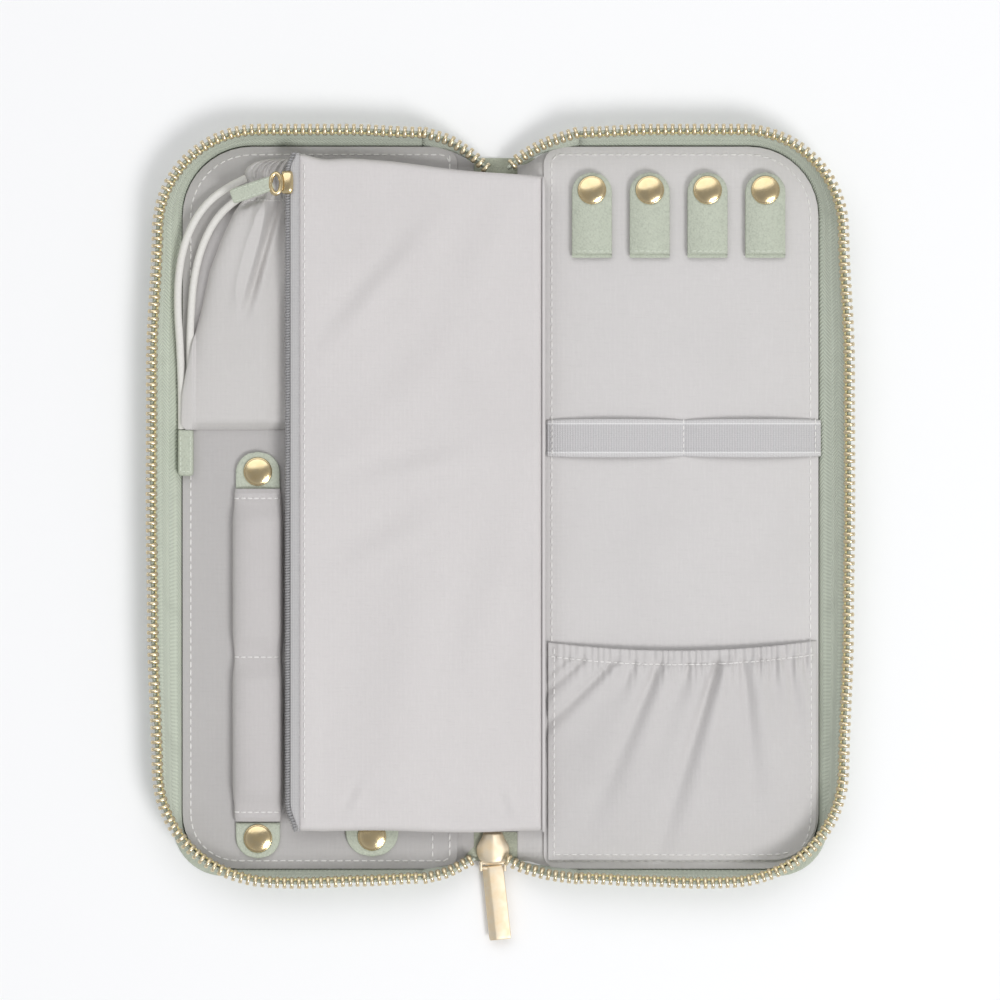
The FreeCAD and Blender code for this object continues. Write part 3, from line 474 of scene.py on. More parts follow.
# The main slider and pull get a paler gold: partly their own satin finish, partly a painted reflection of bright light
# from above.
PALE_GOLD = gold("pale_gold_painted_reflection", linear(238, 224, 200), 0.5, 0.15)
THREAD = thread("grey_thread", linear(233, 231, 229))
SAGE_THREAD = thread("sage_thread", linear(216, 222, 208))
COIL_THREAD = thread("coil_thread", linear(219, 209, 156))
BOARD = cloth("board", linear(170, 165, 155), 1.2, 0.2)
# Lining of each half: the left one is the darker copy with painted shade.
HALF_LINING = {-1: PAINTED_SHADE_LINING, 1: LINING}


def half_box(side, near, far, foot, top, radii):
    """Limits and corner radii of a half's plate; its radii are given as for the left half."""
    if side < 0:
        return -far, -near, foot, top, radii
    return near, far, foot, top, (radii[1], radii[0], radii[3], radii[2])


# Cover of pebbled leather, stiff board, and over it the lining panel with a soft rim, sewn down all round
PANEL = (14.2, 105.2, -120.4, 118.6, (18.0, 5.0, 6.0, 23.0))
for side, name in SIDES:
    body = f"{name}_half"
    for part, material, slot, node, box, build in (
            ("cover_skin", SAGE, "sage_leather", "cover",
             (12.9, 108.5, -123.0, 123.0, (17.0, 5.5, 11.0, 25.0)), (0.0, 1.2, 0.5, 0.5, 12)),
            ("board_core", BOARD, "board", "board",
             (15.7, 103.5, -118.0, 117.2, (17.0, 5.0, 5.0, 23.0)), (1.2, 2.5, 0.2)),
            ("panel", HALF_LINING[side], "grey_lining", "lining", PANEL, (2.6, 3.5, 0.25, 0.0, 10))):
        plate(Shape(), *half_box(side, *box), *build).make(f"{name}_{part}", material, body, slot, f"{name}_{node}")
    outline = rounded_box(*half_box(side, *PANEL), 2.7, 10)
    runs = [outline + outline[:1]]
    if side < 0:
        runs += [[(-22.5, 110.0), (-22.5, -116.0)], [(-16.8, 116.0), (-16.8, -116.0)]]
    seam(f"{name}_panel_stitches", [[(x, y, LINING_TOP) for x, y in run] for run in runs], THREAD, body, "grey_lining")


def wall_line(reach_x, ends, corners, start=26.0, count=18):
    """Line of a zip wall round three sides of the right half, from the upper spine end, with outward headings."""
    spots = []

    def run(a, b, out, steps):
        for k in range(steps):
            t = k / steps
            spots.append(((mix(a[0], b[0], t), mix(a[1], b[1], t)), out))

    def bend(cx, cy, corner, first, last):
        for k in range(count):
            turn = mix(first, last, k / count)
            out = (math.cos(turn), math.sin(turn))
            spots.append(((cx + corner * out[0], cy + corner * out[1]), out))

    (high, low), (top, foot) = corners, ends
    run((start, top), (reach_x - high, top), (0, 1), 20)
    bend(reach_x - high, top - high, high, math.pi / 2, 0.0)
    run((reach_x, top - high), (reach_x, foot + low), (1, 0), 40)
    bend(reach_x - low, foot + low, low, 0.0, -math.pi / 2)
    run((reach_x - low, foot), (start, foot), (0, -1), 20)
    spots.append(((start, foot), (0, -1)))
    return spots


def slack(spots):
    """A rim's line with its long side and its foot bowed out a little and its spine ends drawn in."""
    moved = []
    for (x, y), out in spots:
        long_side = table(y, ((-92, 0.0), (-38, 1.6), (0, 2.0), (46, 1.9), (92, 0.0)))
        short_side = (table(x, ((26, -1.0), (50, 0.0))) if out[1] > 0 else
                      table(x, ((26, -0.8), (46, 0.1), (66, 0.8), (92, 0.0))))
        moved.append(((x + out[0] * long_side, y + out[1] * short_side), out))
    return moved


FOOT = wall_line(104.4, (118.3, -120.0), (22.0, 14.0))
TOP = slack(wall_line(112.5, (123.2, -123.2), (33.0, 36.0)))
RIM = slack(wall_line(112.9, (123.6, -123.6), (33.4, 36.4)))
FOOT_HEIGHT, RIM_HEIGHT = 1.25, 12.8


def tape_band(shape, rows, bulge, sink, thick, steps, step):
    """A band of tape over rows of (foot, top, outward heading), slack between its edges, with its strip marked out."""
    rings, uvs, at = [], [], 0.0
    ups = [step * n for n in range(steps + 1)]
    for k, (foot, top, out) in enumerate(rows):
        if k:
            at += (top - rows[k - 1][1]).length
        inner = []
        for t in between(0.0, 1.0, steps):
            swell = bulge * math.sin(math.pi * t)
            inner.append(foot.lerp(top, t) + out * swell - Vector((0, 0, sink * swell)))
        rings.append(inner + [point + out * thick for point in reversed(inner)])
        uvs += [(at, up) for up in ups + ups[::-1]]
    return shape.loft(rings, uvs=uvs)


def tooth(shape, place, out):
    """One coil loop: a leg that climbs off the tape, a crown, and a round head that hooks over the edge."""
    spine = ((-1.9, 12.75, 0.42), (-1.4, 13.05, 0.68), (-0.6, 13.6, 0.5), (0.2, 13.88, 0.4), (0.85, 13.6, 0.44),
             (1.35, 13.1, 0.54), (1.55, 12.75, 0.3))
    path = [(place[0] + out[0] * r, place[1] + out[1] * r, z + place[2]) for r, z, w in spine]
    tube(shape, path, [w for r, z, w in spine], sides=9, squash=1.36, up=(-out[1], out[0], 0))


# Walls of tape round each half, their teeth, and the corded edge that the coil is sewn over
for (side, name), phase in zip(SIDES, (0.25, 0.75)):
    body = f"{name}_half"
    rows = []
    for ((foot_x, foot_y), _), ((top_x, top_y), out) in zip(FOOT, TOP):
        rows.append((Vector((side * foot_x, foot_y, FOOT_HEIGHT)), Vector((side * top_x, top_y, RIM_HEIGHT)),
                     Vector((side * out[0], out[1], 0.0))))
    tape_band(Shape(), rows, 0.55, 0.25, 0.8, 8, 1.5).make(
        f"{name}_tape_wall", TAPE, body, "sage_tape", f"{name}_zip_tape", with_uvs=True)
    chain = Shape()
    for place, heading in walk([(x, y, 0.0) for (x, y), out in RIM], TOOTH_PITCH, TOOTH_PITCH * phase):
        out = outward(heading, place)
        tooth(chain, (side * place.x, place.y, 0.0), (side * out.x, out.y))
    chain.make(f"{name}_coil_teeth", TEETH, body, "gold_teeth", f"{name}_zip_teeth")
    edge = [(side * (x - out[0] * 1.25), y - out[1] * 1.25, 12.75) for (x, y), out in RIM]
    tube(Shape(), edge, 0.35, 6).make(f"{name}_tape_cord", COIL_THREAD, body, "sage_tape")

# Spine leather, its lining and the patch under the zip's end
for name, material, slot, node, box in (
        ("spine_skin", SPINE_SAGE, "sage_leather", "spine_leather",
         (-12.7, 12.7, -118.0, 115.0, 2.0, 0.0, 1.2, 0.4, 0.4)),
        ("spine_inside", LINING, "grey_lining", "spine_lining", (-11.1, 11.1, -116.4, 104.0, 1.6, 1.2, 2.0, 0.35)),
        ("zip_end_leather", SPINE_SAGE, "sage_leather", "zip_end_patch",
         (-11.0, 6.0, -116.4, -108.2, 1.2, 2.0, 2.4, 0.15))):
    plate(Shape(), *box).make(name, material, "spine", slot, node)

# Lining from under the panel's edge on to the spine
for (side, name), inner, low_end in zip(SIDES, (8.8, 5.6), (-112.4, -117.6)):
    rings = []
    for x in between(16.0, inner, 24):
        rise = ease((16.0 - x) / 9.0)
        ys = between(mix(-119.5, low_end, rise), mix(116.8, 112.6, rise), 24)
        rings.append([(side * x, y, 2.5) for y in ys] + [(side * x, y, 2.1) for y in reversed(ys)])
    # On the left the fold lining is the darker copy with painted shade.
    fold_obj = Shape().loft(rings).make(f"{name}_fold_lining", HALF_LINING[side], None, "grey_lining")
    metres((side * 14.6, 0, FOLD_HEIGHT))
    metres((side * 9.4, 0, FOLD_HEIGHT))
    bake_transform(fold_obj)

# Tails of tape by (side, end): distance from the spine's middle, then y and z of the foot, then y and z of the top
LOW_START, HIGH_START = (26.0, 120.0, FOOT_HEIGHT, 122.8, RIM_HEIGHT), (26.0, 118.4, FOOT_HEIGHT, 122.6, RIM_HEIGHT)
TAILS = {
    (-1, -1): (LOW_START, (18.0, 119.4, 4.1, 121.2, 9.75), (8.55, 116.4, 2.5, 116.4, 6.5)),
    (1, -1): (LOW_START, (16.0, 119.8, 4.0, 121.8, 9.2), (6.8, 118.0, 2.5, 119.4, 6.9), (2.5, 116.4, 2.5, 117.0, 6.4)),
    (-1, 1): (HIGH_START, (17.0, 117.4, 3.7, 120.2, 10.0), (10.0, 114.0, 3.8, 115.9, 7.7),
              (4.9, 111.0, 3.6, 111.2, 6.3)),
    (1, 1): (HIGH_START, (15.0, 117.0, 3.8, 119.3, 9.4), (6.8, 112.9, 3.8, 114.9, 7.2), (2.6, 110.9, 3.6, 111.0, 6.3)),
}


def tail_rows(side, end):
    """Foot and top of a tail from its side wall in to the spine."""
    stations = TAILS[side, end]
    rows = []
    for a, b in zip(stations, stations[1:]):
        rows += [[mix(p, q, k / 8) for p, q in zip(a, b)] for k in range(8)]
    rows.append(list(stations[-1]))
    last = len(rows) - 1
    smooth = []
    for k in range(last + 1):
        near = [rows[min(max(k + d, 0), last)] for d in (-2, -1, 0, 1, 2)]
        smooth.append([sum(values) / 5 for values in zip(*near)] if 0 < k < last else rows[k])
    return [(Vector((side * x, end * foot_y, foot_z)), Vector((side * x, end * top_y, top_z)))
            for x, foot_y, foot_z, top_y, top_z in smooth]


for side, name in SIDES:
    tails, loops = Shape(), Shape()
    for end in (1, -1):
        rows = tail_rows(side, end)
        tops = [top for foot, top in rows]
        headings = [b - a for a, b in zip(tops[:1] + tops, tops[1:] + tops[-1:])]
        tape_band(tails, [(foot, top, outward(heading, (0, end, 0))) for (foot, top), heading in zip(rows, headings)],
                  0.35, 0.0, 0.7, 5, 1.8)
        for place, heading in walk(tops, TOOTH_PITCH, TOOTH_PITCH / 2):
            out = outward(heading, (0, end, 0))
            tooth(loops, place + out * 0.3 - Vector((0, 0, 12.9)), out)
    tape = tails.make(f"{name}_tape_tails", TAPE, None, "sage_tape", f"{name}_zip_tail_tapes", with_uvs=True)
    teeth = loops.make(f"{name}_tail_teeth", TEETH, None, "gold_teeth", f"{name}_zip_tail_teeth")
    for obj in (tape, teeth):
        metres((side * 20.0, 0, FOLD_HEIGHT))
        metres((side * 9.0, 0, FOLD_HEIGHT))
        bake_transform(obj)


def turned_piece(shape, x, y, profile, sides=40):
    """A round piece from (radius, height) steps."""
    turns = [2 * math.pi * k / sides for k in range(sides)]
    return shape.loft([[(x + r * math.cos(turn), y + r * math.sin(turn), z) for turn in turns] for r, z in profile])


def snap(name, x, y, base, body, node):
    """Snap cap: a rolled rim, a shallow ring groove and a smooth dome."""
    profile = ((4.4, 0.0), (4.72, 0.12), (4.75, 0.35), (4.68, 0.58), (4.5, 0.72), (4.3, 0.76), (4.12, 0.72),
               (4.0, 0.76), (3.8, 0.84), (3.4, 0.95), (2.8, 1.08), (2.0, 1.2), (1.1, 1.28), (0.35, 1.3), (0.02, 1.3))
    turned_piece(Shape(), x, y, [(r, base + z) for r, z in profile]).make(name, GOLD, body, "gold_hardware", node)


def sockets(name, body, node, places):
    """Snap sockets as high as the studs that they stand in for."""
    low, high = (corner[2] * 1000 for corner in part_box(node))
    shape = Shape()
    for x, y in places:
        turned_piece(shape, x, y, ((2.35, low), (2.5, low + 0.1), (2.5, high - 0.12), (2.3, high), (1.5, high),
                                   (1.4, high - 0.15), (0.02, high - 0.15)), 24)
    shape.make(name, GOLD, body, "gold_hardware", node)


# Main slider: a smooth bulb with a faint ridge down the middle and a lower rim round it
SLIDER_X, PIN_Y, PIN_Z = -2.5, -120.2, 3.5
bulb = ((-118.6, 2.1), (-118.3, 3.3), (-117.4, 4.35), (-116.2, 5.0), (-115.0, 5.35), (-113.9, 5.45), (-112.8, 5.25),
        (-111.6, 4.65), (-110.4, 3.9), (-109.2, 3.4), (-108.5, 3.2), (-108.25, 2.9))
dome = mirrored(((1.0, 2.45), (1.0, 3.9), (0.97, 4.25), (0.88, 4.4), (0.8, 4.75), (0.55, 5.2), (0.12, 5.5)),
                ((0.0, 5.58),))
rings = [[(SLIDER_X + half * share, y, min(z, 4.3) if k in (0, len(bulb) - 1) else z) for share, z in dome]
         for k, (y, half) in enumerate(bulb)]
Shape().loft(rings).make("main_slider", PALE_GOLD, "spine", "gold_hardware", "zip_slider")
bridge = Shape()
for side in (-1, 1):
    lug = SLIDER_X + side * 3.95
    plate(bridge, lug - 0.5, lug + 0.5, -121.2, -117.9, 0.4, 2.6, 4.4, 0.35, 0.2, 4)
plate(bridge, -6.6, 1.6, -119.0, -117.6, 0.5, 2.6, 4.3, 0.4, 0.2, 4)
tube(bridge, [(SLIDER_X + x, PIN_Y, PIN_Z) for x in between(-4.4, 4.4, 6)], 0.62, 12)
bridge.make("main_slider_lugs", PALE_GOLD, "spine", "gold_hardware", "slider_bridge")

# Main pull: a bevelled bar whose end wraps the pin, a little askew as it lies
lean = math.radians(6.0)
rings = []
for along, half, thick in ((-0.9, 2.7, 0.6), (-0.6, 3.2, 0.95), (0.6, 3.45, 1.05), (2.2, 3.5, 1.08), (6.0, 3.54, 1.1),
                           (14.0, 3.6, 1.1), (22.3, 3.62, 1.1), (23.4, 3.54, 1.0), (23.7, 3.2, 0.6)):
    ring = []
    for share, z in ((-1.0, -0.75), (-1.0, -0.5), (-0.42, 0.96), (-0.36, 1.02), (-0.28, 1.04), (0.9, 1.0), (0.97, 0.92),
                     (1.0, 0.75), (1.0, -0.6), (0.92, -0.95), (-0.92, -0.95)):
        x, y = half * share, -along
        ring.append((SLIDER_X + x * math.cos(lean) - y * math.sin(lean),
                     PIN_Y + x * math.sin(lean) + y * math.cos(lean), PIN_Z + z * thick))
    rings.append(ring)
pull = Shape().loft(rings).make("main_pull_bar", PALE_GOLD, "main_pull", "gold_hardware", "main_pull")
rim = pull.modifiers.new("soft", "BEVEL")
rim.width, rim.segments, rim.limit_method = 0.00012, 2, "ANGLE"

STRAPS, STRAP_SNAP_Y = [30.2 + 19.1 * k for k in range(4)], 104.0
BAR_X, BAR_SNAP_Y, EARRING_X = -80.2, 11.03, -42.5
for number, x in enumerate(STRAPS, 1):
    snap(f"strap_snap_{number}", x, STRAP_SNAP_Y, 6.2, f"strap_{number}", f"strap_cap_{number}")
snap("bar_snap_upper", BAR_X, BAR_SNAP_Y, 5.1, "ring_bar", "ring_bar_upper_cap")
snap("bar_snap_lower", BAR_X, -110.23, 4.7, "left_half", "ring_bar_lower_cap")
snap("earring_snap", EARRING_X, -109.55, 4.7, "left_half", "earring_cap")
sockets("strap_sockets", "right_half", "strap_studs", [(x, STRAP_SNAP_Y) for x in STRAPS])
sockets("bar_socket", "left_half", "ring_bar_stud", [(BAR_X, BAR_SNAP_Y)])


def strap_half(t, width, end_round):
    """Half width of a strap at distance t from its round end."""
    if t >= end_round:
        return width / 2
    return math.sqrt(max(end_round ** 2 - (end_round - t) ** 2, 0.0)) + width / 2 - end_round


def strip(rows, thick=1.2, rim=0.3):
    """A leather strip along rows of (middle point, half width, up), with rolled edges."""
    rings = []
    for place, half, up in rows:
        half = max(half, 0.05)
        edge, top = min(rim, half * 0.5), thick / 2
        upper = ((half, top - edge), (half - edge * 0.4, top - edge * 0.15), (half - edge * 1.6, top))
        ring = [(-half, edge - top), (edge - half, -top), (half - edge, -top), (half, edge - top), *upper,
                (0.0, top + 0.06), *((-across, z) for across, z in reversed(upper))]
        rings.append([Vector(place) + Vector((across, 0, 0)) + Vector(up) * z for across, z in ring])
    return Shape().loft(rings)


def flat_strap(name, x, y0, y1, base, width, rounds, body, node):
    """A strap that lies flat from y0 to y1, with its own end rounds."""
    rows = []
    for y in sorted(set(between(y0, y0 + rounds[0], 10) + between(y1 - rounds[1], y1, 10) + between(y0, y1, 12))):
        half = min(strap_half(t, width, end) for t, end in zip((y - y0, y1 - y), rounds))
        rows.append(((x, y, base + 0.6), half, (0, 0, 1)))
    strip(rows).make(name, SAGE, body, "sage_leather", node)


STRAP_WIDTH, STRAP_ROUND, STRAP_END = 13.2, 6.55, 109.9


def strap_rows(x, ys, z, up):
    """Rows of a snap strap where it lies flat."""
    return [((x, y, z), strap_half(STRAP_END - y, STRAP_WIDTH, STRAP_ROUND), (0, 0, up)) for y in ys]


# Snap straps: one leather strip each, sewn down behind, folded over at the foot and snapped at the top
round_end = between(STRAP_END, STRAP_END - STRAP_ROUND, 10)
for number, x in enumerate(STRAPS, 1):
    fold = []
    for turn in between(0.0, math.pi, 10):
        fold.append(((x, 83.15 - 0.85 * math.sin(turn), 4.85 - 0.75 * math.cos(turn)), STRAP_WIDTH / 2,
                     (0, -math.sin(turn), math.cos(turn))))
    back = strap_rows(x, round_end + between(100.0, 84.2, 6), 4.1, 1)
    flap = strap_rows(x, between(84.2, 100.0, 6) + round_end[::-1], 5.6, -1)
    for rows, piece, body, node in ((back + fold[:6], "strap_back_leather", "right_half", "strap_back"),
                                    (fold[5:] + flap, "strap_leather", f"strap_{number}", "strap_flap")):
        strip(rows).make(f"{piece}_{number}", SAGE, body, "sage_leather", f"{node}_{number}")
    seam(f"strap_foot_stitches_{number}", [[(x - 5.4, 83.9, 6.2), (x + 5.4, 83.9, 6.2)]], SAGE_THREAD,
         f"strap_{number}", "sage_leather", 1.9, 1.3, 0.2)

# Snap tabs of the ring bar, and the strap under the page with sewing that follows its edge
flat_strap("bar_tab_upper", BAR_X, 5.2, 17.6, 3.9, 14.6, (0.0, 7.0), "ring_bar", "ring_bar_upper_tab")
flat_strap("bar_tab_lower", BAR_X, -116.8, -105.0, 3.5, 14.6, (7.0, 0.0), "left_half", "ring_bar_lower_tab")
flat_strap("earring_tab", EARRING_X, -116.2, 3.8, 3.5, 17.5, (8.2, 8.2), "left_half", "earring_strap")
half, rise, shoulder, sewn_z = 17.5 / 2 - 1.3, 8.2 - 1.3, 3.8 - 8.2, 4.72
path = [(EARRING_X - half, -104.0, sewn_z)]
for turn in between(math.pi, 0.0, 12):
    path.append((EARRING_X + half * math.cos(turn), shoulder + rise * math.sin(turn), sewn_z))
path.append((EARRING_X + half, -104.0, sewn_z))
seam("earring_tab_stitches", [path], SAGE_THREAD, "left_half", "sage_leather", 2.0, 1.4, 0.17)


def closed_skin(above, below, turned=False):
    """A cloth between two grids of points, closed along their edges; turned where the rows run the other way."""
    rows, cols = len(above), len(above[0])
    size = rows * cols
    faces = []
    for j in range(rows - 1):
        for i in range(cols - 1):
            a = j * cols + i
            faces.append((a, a + 1, a + cols + 1, a + cols))
            faces.append((size + a, size + a + cols, size + a + cols + 1, size + a + 1))
    border = list(range(cols)) + [j * cols + cols - 1 for j in range(1, rows)]
    border += [(rows - 1) * cols + i for i in range(cols - 2, -1, -1)] + [j * cols for j in range(rows - 2, 0, -1)]
    faces += [(a, size + a, size + b, b) for a, b in zip(border, border[1:] + border[:1])]
    if turned:
        faces = [face[:1] + face[:0:-1] for face in faces]
    return Shape().add([point for row in above + below for point in row], faces)


def thick_cloth(grid, thick):
    """A cloth of even thickness that doesn't sink into the lining."""
    return closed_skin(grid, [[(x, y, max(z - thick, LINING_TOP)) for x, y, z in row] for row in grid])


# Gathered pocket: the folds start at the elastic hem and fan out down the cloth.
# Each has a start, a lean, a depth, a width and a length.
FOLDS = ((22.0, 0.9, 0.5, 1.0, 14.0), (27.0, 1.0, 1.0, 1.2, 24.0), (37.0, 0.95, 1.4, 1.4, 40.0),
         (44.0, 0.4, 0.8, 0.9, 14.0), (52.3, 0.42, 1.9, 1.7, 62.0), (62.4, 0.3, 0.9, 1.0, 15.0),
         (71.5, 0.31, 2.5, 1.6, 74.0), (80.5, -0.08, 1.7, 1.4, 52.0), (85.2, 0.1, 0.8, 0.9, 16.0),
         (90.0, -0.1, 0.9, 1.1, 20.0), (95.0, -0.15, 1.1, 1.2, 36.0), (100.0, -0.2, 0.5, 0.9, 12.0))
POCKET_LEFT, POCKET_RIGHT, POCKET_FOOT, POCKET_ROUND, HEM = 15.7, 104.6, -117.6, 15.0, 4.6


def pocket_mouth(x):
    return -45.0 - 3.1 * (1 - ((x - 58.0) / 45.0) ** 2)


def pocket_point(u, v):
    """Place on the pocket: u across, v down from the mouth."""
    x = mix(POCKET_LEFT, POCKET_RIGHT, u)
    y = mix(pocket_mouth(x), POCKET_FOOT, v)
    d = pocket_mouth(x) - y
    drop = max(d - HEM, 0.0)
    belly = 1 - abs(2 * u - 1) ** 3.2
    belly *= table(v, ((0.0, 0.78), (0.08, 0.74), (0.3, 1.0), (0.75, 0.72), (1.0, 0.0)))
    z = 4.45 + 2.2 * belly
    for start, lean, deep, wide, long in FOLDS:
        if drop > long:
            continue
        fade = (1 - drop / long) ** 0.8 * ease((d - 1.5) / 5.0)
        spread = wide * (1.15 + 1.9 * drop / long)
        off = x + lean * drop - start
        z += fade * deep * (0.95 * hill(off - 1.7 * spread, 1.3 * spread) - 1.0 * hill(off, 0.85 * spread)
                            + 0.3 * hill(off + 2.0 * spread, 1.5 * spread))
    pucker = hill(drop, 5.5) * (0.45 + 0.55 * u)
    z += 0.42 * pucker * math.sin(2 * math.pi * x / 2.5 + 2.2 * math.sin(x * 0.21) + 1.3 * math.sin(x * 0.57))
    z += 0.16 * math.sin(2 * math.pi * x / 2.1 + 3 * math.sin(x * 0.33)) * (d < HEM) * (0.3 + 0.7 * u)
    z -= 0.4 * hill(d - HEM, 0.55)
    z += 0.35 * noise.noise(Vector((x * 0.06, y * 0.06, 3.0))) * belly
    corner_x, corner_y = POCKET_RIGHT - POCKET_ROUND, POCKET_FOOT + POCKET_ROUND
    across, down = max(0.0, x - corner_x) / POCKET_ROUND, max(0.0, corner_y - y) / POCKET_ROUND
    if across and down:
        x = corner_x + POCKET_ROUND * across * math.sqrt(1 - down ** 2 / 2)
        y = corner_y - POCKET_ROUND * down * math.sqrt(1 - across ** 2 / 2)
    return (x, y, max(z, 3.75 + 0.5 * belly))


pocket = thick_cloth([[pocket_point(u, v) for u in between(0.0, 1.0, 240)] for v in between(0.0, 1.0, 130)], 0.7)
pocket_obj = pocket.make("gathered_pocket_cloth", POCKET_CLOTH, "right_half", "grey_lining", "gathered_pocket",
                         "pocket_elastic_hem")
hem_line = []
for u in between(0.005, 0.995, 150):
    hem_line.append(pocket_point(u, HEM / (pocket_mouth(mix(POCKET_LEFT, POCKET_RIGHT, u)) - POCKET_FOOT)))
edges = [[pocket_point(u, v) for v in between(0.02, 0.97, 60)] for u in (0.022, 0.978)]
edges.append([pocket_point(u, 0.972) for u in between(0.02, 0.93, 90)])
sewn = Shape()
stitches(sewn, raised(hem_line, 0.12), 2.3, 1.7, 0.24)
for edge in edges:
    stitches(sewn, raised(edge, 0.05), 2.7, 1.8, 0.24)
sewn_obj = sewn.make("pocket_stitches", THREAD, "right_half", "grey_lining")

# Elastic band across the right half, held at both ends and in the middle
BAND_Y = 22.1
finish = Finish("grey_elastic", linear(201, 199, 200), 0.75, sheen=0.15, specular=0.2)
where = finish.place()
from_middle = finish.maths("ABSOLUTE", finish.maths("SUBTRACT", finish.axes(where)["Y"], BAND_Y))
ribs = finish.wave(where, threads(0.85), "X", 0.3)
rows = finish.wave(where, threads(0.7), "Y", 0.2)
line = finish.maths("COMPARE", from_middle, 4.75, 0.22)
for value, weight in ((ribs, 0.7), (rows, 0.5), (line, 1.2)):
    finish.height(value, weight)
finish.tint(ribs, linear(178, 176, 177), 0.5, 0.6, 0.0)
finish.tint(rows, linear(188, 186, 187), 0.35, 0.5, 0.0)
finish.tint(from_middle, linear(212, 210, 210), 0.7, 4.6, 4.9)
finish.tint(line, linear(232, 231, 231), 0.85)
ELASTIC = finish.done(0.5, 0.0003)


def band_point(x, share):
    """Place on the band, which arches twice along its length and is drawn in where it is sewn."""
    arch = math.sin(math.pi * ((x - 15.1) / 90.9 * 2 % 1.0))
    edge = 0.16 if 0.62 < abs(share) < 0.94 else 0.0
    return (x, BAND_Y + (6.3 - 0.35 * (1 - arch ** 0.5)) * share,
            3.75 + 1.7 * arch ** 0.6 + edge - 0.1 * (abs(share) > 0.97))


grid = [[band_point(x, share) for x in between(15.1, 106.0, 140)] for share in between(1.0, -1.0, 24)]
band = thick_cloth(grid, 0.55)
band_obj = band.make("elastic_band_weave", ELASTIC, "right_half", "grey_elastic", "elastic_band")
runs = [[(x, y, z) for y in between(16.6, 27.6, 8)] for x, z in ((17.0, 4.45), (60.55, 3.85), (104.1, 4.45))]
band_stitches = seam("band_stitches", runs, THREAD, "right_half", "grey_elastic", 2.0, 1.4, 0.22)

# Ring bar: a stuffed roll, drawn in where it is sewn across
BAR_SEAMS, BAR_TOP, BAR_FOOT = (2.2, -50.2, -101.4), 5.4, -104.6


def bar_ring(y):
    near = min(abs(y - seam_y) for seam_y in BAR_SEAMS)
    full = ease(near / 9.0)
    tip = ease((BAR_TOP - y) / 2.0) * ease((y - BAR_FOOT) / 2.0)
    high = mix(3.6, 6.1, full) * mix(0.62, 1.0, tip)
    half = mix(7.75, 8.35, full) * mix(0.94, 1.0, tip)
    ring = []
    for k in range(44):
        turn = 2 * math.pi * k / 44
        c, s = math.cos(turn), math.sin(turn)
        x = math.copysign(abs(c) ** 0.86, c) * half
        z = 1.2 + (high - 1.2) * s ** 0.8 if s >= 0 else 1.2 - 1.2 * min(1.0, -s * 2.2) ** 0.7
        wrinkle = hill(near - 2.6, 2.4) * 0.16 * math.sin(k * 2.9 + y * 0.4)
        soft = 0.22 * noise.noise(Vector((x * 0.09, y * 0.05, 7.0)))
        groove = 0.45 * hill(near, 0.5)
        ring.append((BAR_X + x, y, 3.92 + max(z + (wrinkle + soft - groove) * max(s, 0.0), 0.0)))
    return ring


bar = Shape().loft([bar_ring(y) for y in between(BAR_TOP, BAR_FOOT, 200)])
bar_obj = bar.make("ring_bar_pad", PAD_CLOTH_PAINTED_SHADE, "ring_bar", "grey_lining", "ring_bar_roll")
crests = [sorted(raised([point for point in bar_ring(y) if point[2] > 5.3], 0.1)) for y in BAR_SEAMS]
seam("bar_stitches", crests, THREAD, "ring_bar", "grey_lining", 2.2, 1.6, 0.24)

# Page: one soft zip pocket that bulges a little, with slack diagonal wrinkles
PAGE_BOTTOM, PAGE_LEFT, PAGE_RIGHT = -107.6, -66.4, 13.7
PAGE_LENGTH, PAGE_WIDTH = 223.0, 80.0
PAGE_FRONT, PAGE_BACK, PAGE_PUFF = 9.45, 9.15, 1.75


def page_top_edge(x):
    """Upper edge: a small dip by the zip, then a slope down to the seam."""
    slope = mix(116.0, 108.0, (x - PAGE_LEFT) / PAGE_WIDTH)
    return slope - 0.9 * hill(x + 58.0, 5.0) + 0.3 * math.sin(x * 0.13)


def page_foot_edge(x):
    return PAGE_BOTTOM + 0.35 * math.sin(x * 0.11) + 0.5 * hill(x - PAGE_LEFT, 6.0)


# Slack swells of the cloth: middle in x and y, heading, width, length and height
SWELLS = ((-40.4, 69.8, 0.86, 4.2, 24.0, 1.1), (-29.1, 10.5, 0.26, 4.5, 20.0, 0.9),
          (-38.0, -14.5, 0.51, 5.0, 16.0, 0.8), (-25.0, 42.0, 0.8, 7.0, 24.0, 0.7),
          (-30.0, -60.0, 1.45, 12.0, 45.0, 1.2), (-4.0, 84.0, 1.1, 6.0, 22.0, 0.5),
          (-2.0, -30.0, 1.3, 7.0, 34.0, 0.6), (-47.0, -97.0, 1.1, 1.8, 6.0, 0.35), (4.0, -99.0, 1.9, 1.8, 6.0, 0.35))


def page_relief(x, y):
    """Relief of the slack cloth, a ridge and the hollow behind it for each swell."""
    relief = 0.3 * noise.noise(Vector((x * 0.035, y * 0.022, 1.0)))
    relief += 0.12 * noise.noise(Vector((x * 0.1, y * 0.07, 5.0)))
    for cx, cy, turn, wide, long, deep in SWELLS:
        dx, dy = x - cx, y - cy
        along = dx * math.cos(turn) + dy * math.sin(turn)
        off = dy * math.cos(turn) - dx * math.sin(turn)
        relief += deep * hill(along, long) * (hill(off, wide) - 0.8 * hill(off - 1.6 * wide, wide))
    return relief


